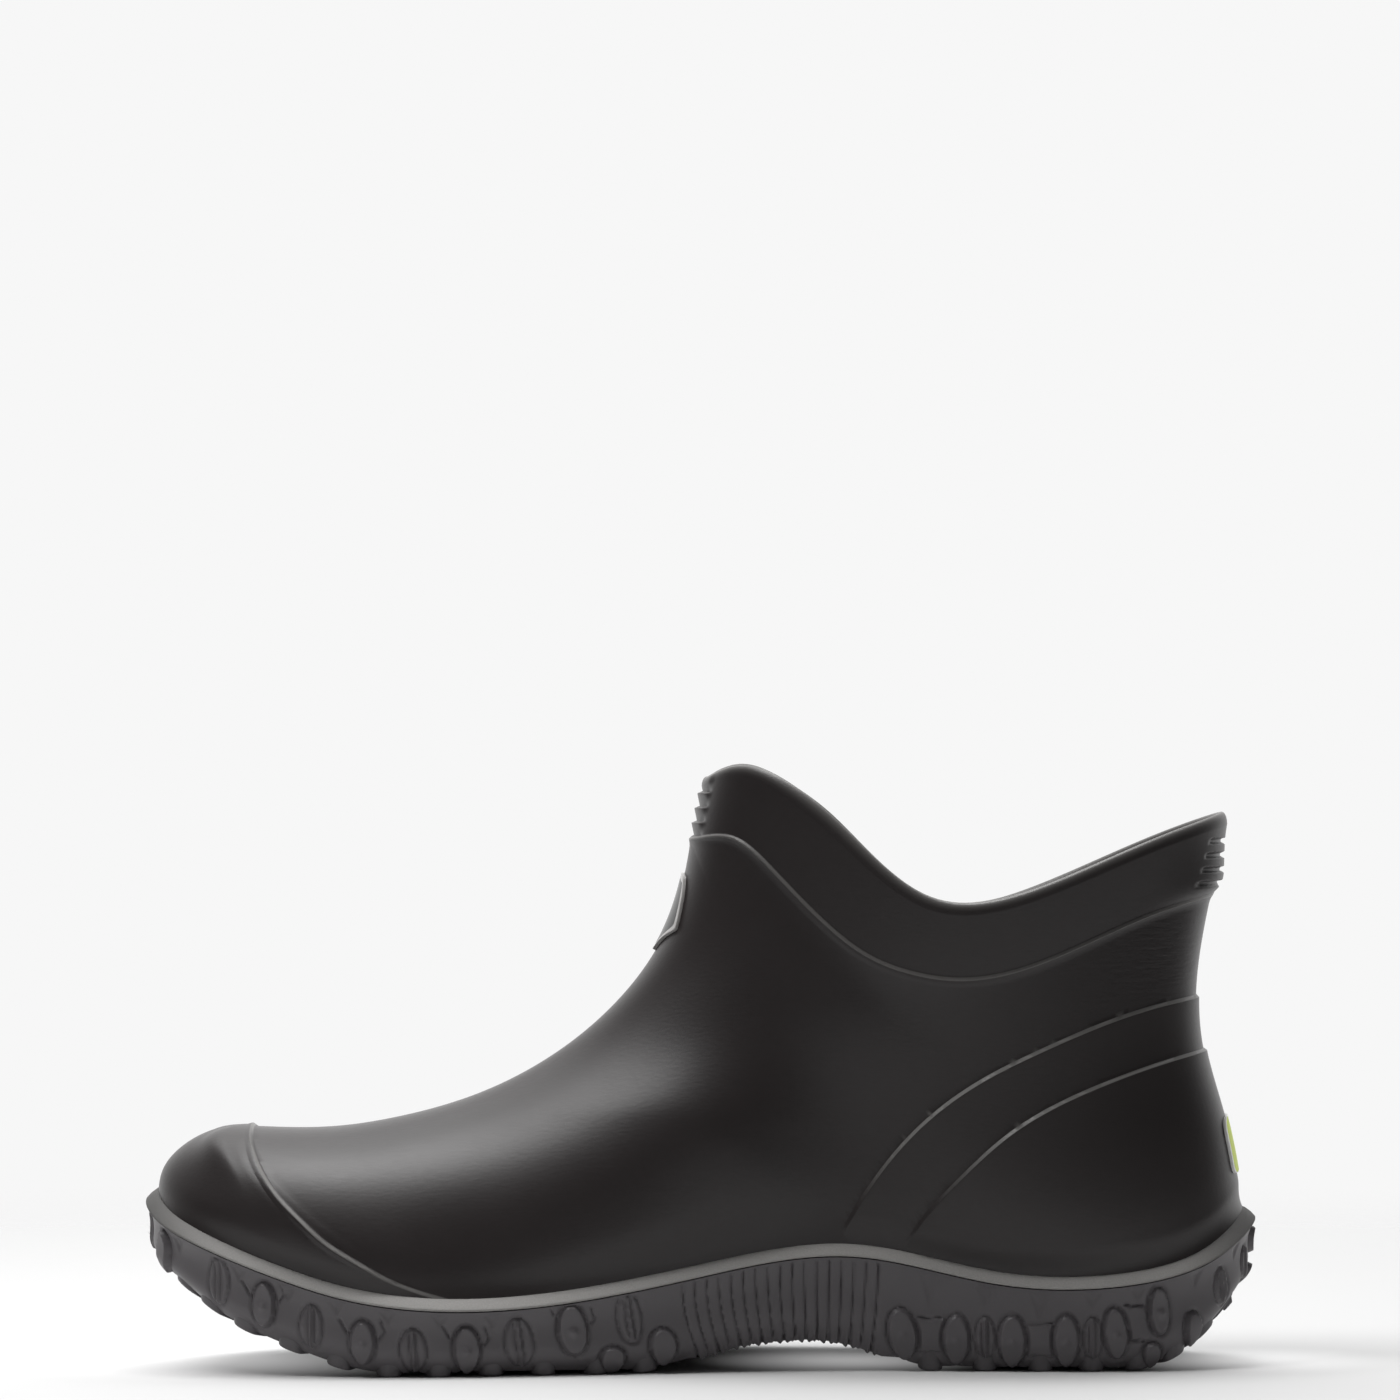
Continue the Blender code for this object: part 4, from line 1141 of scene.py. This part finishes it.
def painted_edge_highlight(co, share, cuff):
    """Painted highlight along the moulded edges of cap, counter and cuff, standing in for the light their
    ledges catch.
    """
    on_wall = cuff <= 0
    cap = np.interp(inside_cap(co), CAP_HIGHLIGHT_AT, HIGHLIGHT_PAINT_SHAPE)
    pale = CAP_HIGHLIGHT_PAINT * np.where(on_wall & (share < CUFF_SHARE), cap, 0)
    seam = np.interp(above_seam(co), CUFF_HIGHLIGHT_AT, HIGHLIGHT_PAINT_SHAPE)
    pale = np.maximum(pale, CUFF_HIGHLIGHT_PAINT * np.where(share > SEAM_FROM, seam, 0))
    for line in COUNTER_LINES:
        counter = COUNTER_HIGHLIGHT_PAINT * np.interp(inside_counter(line)(co), COUNTER_HIGHLIGHT_AT, HIGHLIGHT_PAINT_SHAPE)
        counter = np.where(on_wall & (share > CUFF_SHARE), counter, 0) * ramp(co[:, 2], *COUNTER_HIGHLIGHT_FADE)
        pale = np.maximum(pale, counter)
    return pale


def open_edges(piece):
    """Numbers of the edges of a piece that only one face has."""
    used = np.empty(len(piece.data.loops), np.int32)
    piece.data.loops.foreach_get("edge_index", used)
    return np.flatnonzero(np.bincount(used, minlength=len(piece.data.edges)) == 1)


def open_vertices(piece):
    """Numbers of the vertices along the open edges of a piece."""
    return np.unique(edge_ends(piece)[open_edges(piece)])


def rim_loop(piece):
    """Places round the open top of a skin, in order round the shaft from near its middle."""
    loop = places(piece)[open_vertices(piece)]
    loop = loop[loop[:, 2] > SPLIT]
    turn = np.mod(np.arctan2(loop[:, 1], loop[:, 0] - NECK_MIDDLE) - 1.7, 2 * math.pi)
    return loop[np.argsort(turn)]


def run_on(*runs):
    """Places along runs that follow one another, each with its start, end and number of cells."""
    starts = [np.linspace(start, end, cells + 1)[:-1] for start, end, cells in runs]
    return np.concatenate([*starts, [runs[-1][1]]])


# Columns are closer at the front of the shaft, and rows at the ridge, the seam and the rim
seam_front = CUFF_SHARE - 0.02
share = run_on((0, CAP_SHARE, 56), (CAP_SHARE, seam_front, 79), (seam_front, CUFF_SHARE, 11),
               (CUFF_SHARE, 1, 114))
crowded = run_on((0, 0.97, 75), (0.97, 1.0, 12))
even = np.linspace(0, 1, len(crowded))
near_front = ramp(share, CAP_SHARE, CUFF_SHARE - 0.03) * ramp(share, CUFF_SHARE + 0.06, CUFF_SHARE)
wall_heights = even + (crowded - even) * near_front[:, None]
roll_share = 1 - RIM_ROLL / (SHAFT[0].rim - SHAFT[0].cuff)
cuff_heights = run_on((0, 0.05, 8), (0.05, roll_share, 54))
upper = upper_skin("upper_moulded", share, wall_heights, cuff_heights)
score(upper, inside_cap, CAP_STEPS)
for line in COUNTER_LINES:
    score(upper, inside_counter(line), COUNTER_STEPS)
co = places(upper)
# Painted highlight along the moulded edges of cap, counter and cuff, kept on the vertices for the finish
mark(upper, "pale", painted_edge_highlight(co, read(upper, "share"), read(upper, "cuff")))
move_to(upper, co + facings(upper) * wall_step(co, read(upper, "share"), read(upper, "cuff"))[:, None])

inside_rows = np.linspace(0, 1, INSIDE_ROWS), np.linspace(0, roll_share, INSIDE_CUFF_ROWS)
upper_inside = upper_skin("upper_inside", share, *inside_rows)
inward = facings(upper_inside) * -WALL
inward[open_vertices(upper_inside), 2] = 0
move_to(upper_inside, places(upper_inside) + inward)
lining_points = upper_inside.data.copy()
upper_inside.data.flip_normals()
outer_rim, inner_rim = rim_loop(upper), rim_loop(upper_inside)
shift = min(range(-3, 4), key=lambda k: np.linalg.norm(outer_rim - np.roll(inner_rim, k, axis=0)))
inner_rim = np.roll(inner_rim, shift, axis=0)
along = np.clip((outer_rim[:, 0] - RIM_OVAL.front) / (RIM_OVAL.back - RIM_OVAL.front), 0, 1)
_, top, dip = np.moveaxis(SHAFT_AT.at(along), -1, 0)
lift = np.maximum(top - np.where(outer_rim[:, 1] > 0, dip, 0) - outer_rim[:, 2], 1.0)
roll = []
turns = np.linspace(0, math.pi, ROLL_STEPS)
for turn in turns:
    arc = (outer_rim + inner_rim) / 2 + (outer_rim - inner_rim) / 2 * math.cos(turn)
    arc[:, 2] += lift * math.sin(turn)
    roll.append(np.concatenate([arc, arc[:1]]))
rim = add_sheet("upper_rim", np.stack(roll, axis=1))
# The rolled rim gets a painted highlight, brightest at the top of its roll
mark(rim, "pale", np.broadcast_to(RIM_HIGHLIGHT_PAINT * np.sin(turns) ** 2, (len(roll[0]), ROLL_STEPS)))
upper = weld("upper_moulded", upper, upper_inside, rim)
feet = open_edges(upper)
heights = places(upper)[edge_ends(upper)[feet, 0], 2]
pick_edges(upper, feet[heights < SPLIT])
bpy.ops.mesh.bridge_edge_loops()
bpy.ops.object.mode_set(mode="OBJECT")
upper = weld("upper_moulded", upper)
bpy.ops.object.shade_smooth_by_angle(angle=math.radians(60))

satin = Finish("satin_black_rubber", Roughness=0.4, Specular_IOR_Level=0.5)
grain = satin.coords.noise(1.0, 3.0, (420.0, 900.0, 1300.0))
mottle = satin.coords.noise(38, 3.0)
speck = satin.coords.noise(1500, 1.0)
depth = satin.axis(0).between(0.096, 0.130) * satin.axis(2).between(0.090, 0.106)
depth = depth * satin.axis(2).between(0.128, 0.116)
wrinkle = satin.coords.noise(1.0, 3.0, (160.0, 160.0, 900.0))
# The base colour is lightened by the painted highlight along the moulded edges and the rolled rim
pale = satin.coords.node("Attribute", {"attribute_name": "pale"}, output=2)
black = (mottle * 0.8 + speck * 0.2).tint((0.0122, 0.0088, 0.0088, 1), (0.0188, 0.0142, 0.0142, 1))
satin.feed(
    Base_Color=pale.tint(black, (0.25, 0.244, 0.234, 1)),
    Roughness=0.36 + mottle * 0.06 + grain * 0.08,
    Normal=(grain * 0.5 + speck * 0.1 + wrinkle * depth * 2.4).bump(0.09, 0.6),
)
dress(upper, "root", "upper", "upper", satin)

# Lining
# A thin knitted textile that is bonded to the inside of the rubber, from under the rolled rim down to
# the footbed.
LINING_OFF = 0.25
LINING_THICK = 0.7
lining = bpy.data.objects.new("lining", lining_points)
bpy.context.collection.objects.link(lining)
co = places(lining)
move_to(lining, co - facings(lining) * LINING_OFF)
thicken(lining, LINING_THICK)
dress(lining, "root", "insole", None, knit)

# Welt
# A bevelled band of grey rubber round the foot of the upper.  It lies on the rim of the sole and covers
# the joint, and its sloping face is finely grained.
WELT_LIP = 2.6
WELT_ROUND = 0.45
inner_edge = WELT_REACH - SEAT_GAP
WELT_PROFILE = table(
    "inset drop",
    (inner_edge, WELT_HEIGHT - SEAT_GAP),
    (WELT_ROUND, WELT_HEIGHT - SEAT_GAP),
    (0, WELT_HEIGHT - SEAT_GAP - 0.15),
    (0, WELT_LIP),
    (0.12, WELT_LIP - 0.22),
    (0.40, WELT_LIP - 0.48),
    (inner_edge * 0.35, WELT_LIP * 0.52),
    (inner_edge * 0.62, WELT_LIP * 0.28),
    (inner_edge * 0.86, WELT_LIP * 0.07),
    (WELT_REACH, WELT_LIP * -0.04),
    (WELT_REACH + 0.1, WELT_LIP * 0.02),
    (inner_edge, 0.5),
    (inner_edge, WELT_HEIGHT - SEAT_GAP),
)
share = np.linspace(0, 1, 241)
welt = weld("welt_band", *[
    add_sheet("welt_side", np.stack([welt_point(side, share, p.inset, p.drop) for p in WELT_PROFILE], axis=1))
    for side in SIDES
])
bpy.ops.object.shade_smooth_by_angle(angle=math.radians(40))
band = Finish("grained_grey_rubber", Roughness=0.7, Specular_IOR_Level=0.45)
tooth = band.coords.noise(2200, 2.0)
haze = band.coords.noise(30, 2.0)
# Painted shade: the welt's colour darkens towards the toe tip and the heel back, where its ends turn from the
# light
unshaded_middle = band.axis(0).between(-0.153, -0.118) * band.axis(0).between(0.154, 0.122)
grey = (tooth * 0.6 + haze * 0.4).tint((0.20, 0.194, 0.186, 1), (0.36, 0.350, 0.338, 1))
band.feed(
    Base_Color=unshaded_middle.tint((0.07, 0.068, 0.066, 1), grey),
    Roughness=0.6 + tooth * 0.2,
    Normal=tooth.bump(0.12, 0.8),
)
dress(welt, "root", "welt", "welt", band)

# Front badge
# A blank plaque of the same black rubber, bonded over the ridge at the front of the shaft.  A border in a
# second, grey finish runs round it.
BADGE_LOW = 111.5
BADGE_HIGH = 132.5
BADGE_HALF_WIDTH = 11.0
BADGE_THICK = 0.9
BADGE_SEAT = 0.05
BADGE_BORDER = 3
SHIELD = table("up wide", (-1.0, 0.06), (-0.6, 0.46), (-0.2, 0.91), (-0.08, 1.0), (0.06, 0.98), (0.4, 0.85),
               (0.8, 0.66), (1.0, 0.5))
PLAQUE_ROWS = 41
PLAQUE_HALF_CELLS = 20
FINE_STEPS = 240


def spread_points(line, distances):
    """Points at given distances along a fine line of points."""
    steps = np.linalg.norm(np.diff(line, axis=0), axis=1)
    along = np.concatenate([[0.0], np.cumsum(steps)])
    return np.stack([np.interp(distances, along, line[:, k]) for k in range(3)], axis=1)


def plaque_row(lines, half_width):
    """Points across a plaque, from one side of the wall over its middle to the other."""
    reach = np.linspace(0, half_width, PLAQUE_HALF_CELLS + 1)
    left, right = (spread_points(line, reach) for line in lines)
    return np.concatenate([left[::-1], right[1:]])


def add_plaque(name, grid, seat, thick, border, sides):
    """A plate along lines of points on the wall, its border in its second finish, its sides in either."""
    plaque = weld(name, add_sheet(name, grid))
    out = facings(plaque)
    toe_or_heel = -1 if grid[..., 0].mean() < 0 else 1
    if out[:, 0].mean() * toe_or_heel < 0:
        plaque.data.flip_normals()
        out = -out
    move_to(plaque, places(plaque) + out * seat)
    lines, cells = grid.shape[0] - 1, grid.shape[1] - 1
    for face in plaque.data.polygons:
        line, cell = divmod(face.index, cells)
        edge = min(line, cell, lines - 1 - line, cells - 1 - cell)
        face.material_index = 0 if edge >= border else 1
    plate = plaque.modifiers.new("plate", "SOLIDIFY")
    plate.thickness = thick * MM
    plate.offset = 1
    plate.material_offset_rim = sides - 1
    soften = plaque.modifiers.new("soften", "BEVEL")
    soften.width = 0.3 * thick * MM
    soften.segments = 2
    soften.limit_method = "ANGLE"
    soften.angle_limit = math.radians(50)
    alone(plaque)
    bpy.ops.object.modifier_apply(modifier="plate")
    bpy.ops.object.modifier_apply(modifier="soften")
    bpy.ops.object.shade_smooth_by_angle(angle=math.radians(40))
    return plaque


def plain_rubber(name, colour, roughness, grain, high, strength):
    """A finish of one colour with a fine grain."""
    finish = Finish(name, Base_Color=(*colour, 1), Roughness=roughness)
    finish.feed(Normal=finish.coords.noise(grain, 2.0).bump(high, strength))
    return finish


up = np.linspace(0, 1, FINE_STEPS)
ridge_z = RIDGE_LINE.at(up * RIDGE_LINE.knots[-1])[:, 2]
place = np.linspace(-1, 1, PLAQUE_ROWS)
width = lookup(SHIELD, "up", "wide").at(place)[:, 0]
levels = BADGE_LOW + (BADGE_HIGH - BADGE_LOW) * (place + 1) / 2
shares = CAP_SHARE + (CUFF_SHARE - CAP_SHARE) * np.interp(levels, ridge_z, up)
rises = np.linspace(0.4, 1.0, FINE_STEPS)
grid = []
for share, wide in zip(shares, width):
    arcs = [upper_wall(side, np.array([share]), rises)[0, ::-1] for side in SIDES]
    grid.append(plaque_row(arcs, wide * BADGE_HALF_WIDTH))
badge = add_plaque("front_badge_blank", np.array(grid), BADGE_SEAT, BADGE_THICK, BADGE_BORDER, 0)
badge_rubber = plain_rubber("badge_rubber", (0.013, 0.0125, 0.0125), 0.34, 1400, 0.05, 0.6)
badge_border = plain_rubber("badge_border_rubber", (0.42, 0.41, 0.40), 0.3, 1400, 0.05, 0.6)
dress(badge, "root", "front_badge", "front_badge", badge_rubber, badge_border)

# Heel patch
# A blank moulded patch, lime green in a white border, bonded to the back of the heel counter.
PATCH_LOW = 0.221
PATCH_HIGH = 0.360
PATCH_HALF_WIDTH = 10.5
PATCH_THICK = 0.8
PATCH_BORDER = 2
PATCH_SINK = 0.1

# Rounded corners: how square the patch is, and how close its rows are towards its ends
PATCH_SQUARE = 5.0
PATCH_REACH = 0.985
PATCH_CROWD = 0.94
place = np.sin(np.linspace(-1, 1, PLAQUE_ROWS) * math.pi / 2 * PATCH_CROWD)
place /= place[-1]
width = (1 - np.abs(place * PATCH_REACH) ** PATCH_SQUARE) ** (1 / PATCH_SQUARE)
levels = PATCH_LOW + (PATCH_HIGH - PATCH_LOW) * (place + 1) / 2
shares = np.linspace(1.0, 0.8, FINE_STEPS)
walls = [upper_wall(side, shares, levels) for side in SIDES]
grid = [plaque_row([wall[:, k] for wall in walls], wide * PATCH_HALF_WIDTH) for k, wide in enumerate(width)]
seat = 2 * COUNTER_STEPS[-1].rise - PATCH_SINK
patch = add_plaque("heel_patch_blank", np.array(grid), seat, PATCH_THICK, PATCH_BORDER, 1)
lime = plain_rubber("lime_patch", (0.64, 0.78, 0.05), 0.5, 1800, 0.04, 0.5)
white_edge = plain_rubber("white_patch_border", (0.88, 0.88, 0.86), 0.5, 1800, 0.04, 0.5)
dress(patch, "root", "heel_patch", "heel_patch", lime, white_edge)

# Studio
# A pale sweep under soft light: a large box overhead, a bright wall behind, and a dim room in front.
FLOOR_REACH = 0.8
FLOOR_FADE = 0.24
ROOM_DIM = 0.11
WALL_BRIGHT = 1.25
BACKDROP_BRIGHT = 0.93

# Painted light that the floor gives off under the toe, the arch and the heel, lightening the shadow there:
# place along it, reach and strength
PAINTED_FLOOR_LIGHTS = ((-0.135, 0.070, 0.36), (0.04, 0.045, 0.32), (0.150, 0.045, 0.36))
bpy.ops.object.select_all(action="DESELECT")
bpy.ops.mesh.primitive_circle_add(vertices=96, radius=FLOOR_REACH, fill_type="NGON")
floor = bpy.context.object
floor.name = "studio_floor"
paper = Finish("pale_paper", Base_Color=(0.63, 0.63, 0.63, 1), Roughness=0.9, Specular_IOR_Level=0.1,
               Emission_Strength=1.0)
away = paper.coords.node("VectorMath", {"operation": "LENGTH"}, {0: paper.coords}, output=1)
clear = paper.coords.node("BsdfTransparent")
painted_floor_light = 0.0
for x, reach, strength in PAINTED_FLOOR_LIGHTS:
    near = paper.coords.node("VectorMath", {"operation": "DISTANCE"}, {0: paper.coords, 1: (x, 0, 0)}, 1)
    painted_floor_light = painted_floor_light + near.between(reach, 0.0) * strength
# The floor's glow is painted light, lightening the shadow under the boot
paper.feed(Emission_Color=painted_floor_light)
lit = Wire(paper.tree, paper.shader.outputs[0])
fade = away.between(FLOOR_FADE, FLOOR_REACH * 0.95)
blend = paper.coords.node("MixShader", {}, {0: fade, 1: lit, 2: clear})
output = paper.tree.nodes["Material Output"]
paper.tree.links.new(blend.socket, output.inputs["Surface"])
floor.data.materials.append(paper.material)

room = bpy.data.worlds.new("studio")
room.use_nodes = True
bpy.context.scene.world = room
sky = Wire(room.node_tree)
facing = sky.node("TexCoord", output=0)
sideways = facing.node("SeparateXYZ", {}, {0: facing}, output=1)
glow = ROOM_DIM + sideways.between(0.30, 0.75) * WALL_BRIGHT
seen = sky.node("LightPath")
strength = seen * BACKDROP_BRIGHT + (1 - seen) * glow
room.node_tree.links.new(strength.socket, room.node_tree.nodes["Background"].inputs["Strength"])
room.node_tree.nodes["Background"].inputs["Color"].default_value = (1, 1, 1, 1)

LAMPS = table(
    "name x y z spin wide deep power",
    ("overhead_box", -0.30, -0.12, 1.20, 36, 1.3, 0.36, 16),
    ("ceiling_box", -0.05, 0.55, 1.30, 0, 1.8, 0.9, 11),
)
for lamp in LAMPS:
    turn = (0, 0, math.radians(lamp.spin))
    bpy.ops.object.light_add(type="AREA", location=(lamp.x, lamp.y, lamp.z), rotation=turn)
    light = bpy.context.object
    light.name = lamp.name
    light.data.shape = "RECTANGLE"
    light.data.size = lamp.wide
    light.data.size_y = lamp.deep
    light.data.energy = lamp.power

CAMERA_BACK = 2.0
CAMERA_HIGH = 0.1793
CAMERA_X = -0.0007
CAMERA_LENS = 189.4
bpy.ops.object.camera_add(location=(CAMERA_X, -CAMERA_BACK, CAMERA_HIGH), rotation=(math.pi / 2, 0, 0))
camera = bpy.context.object
camera.data.lens = CAMERA_LENS
camera.data.sensor_width = 36.0
bpy.context.scene.camera = camera
bpy.context.scene.view_settings.view_transform = "Standard"
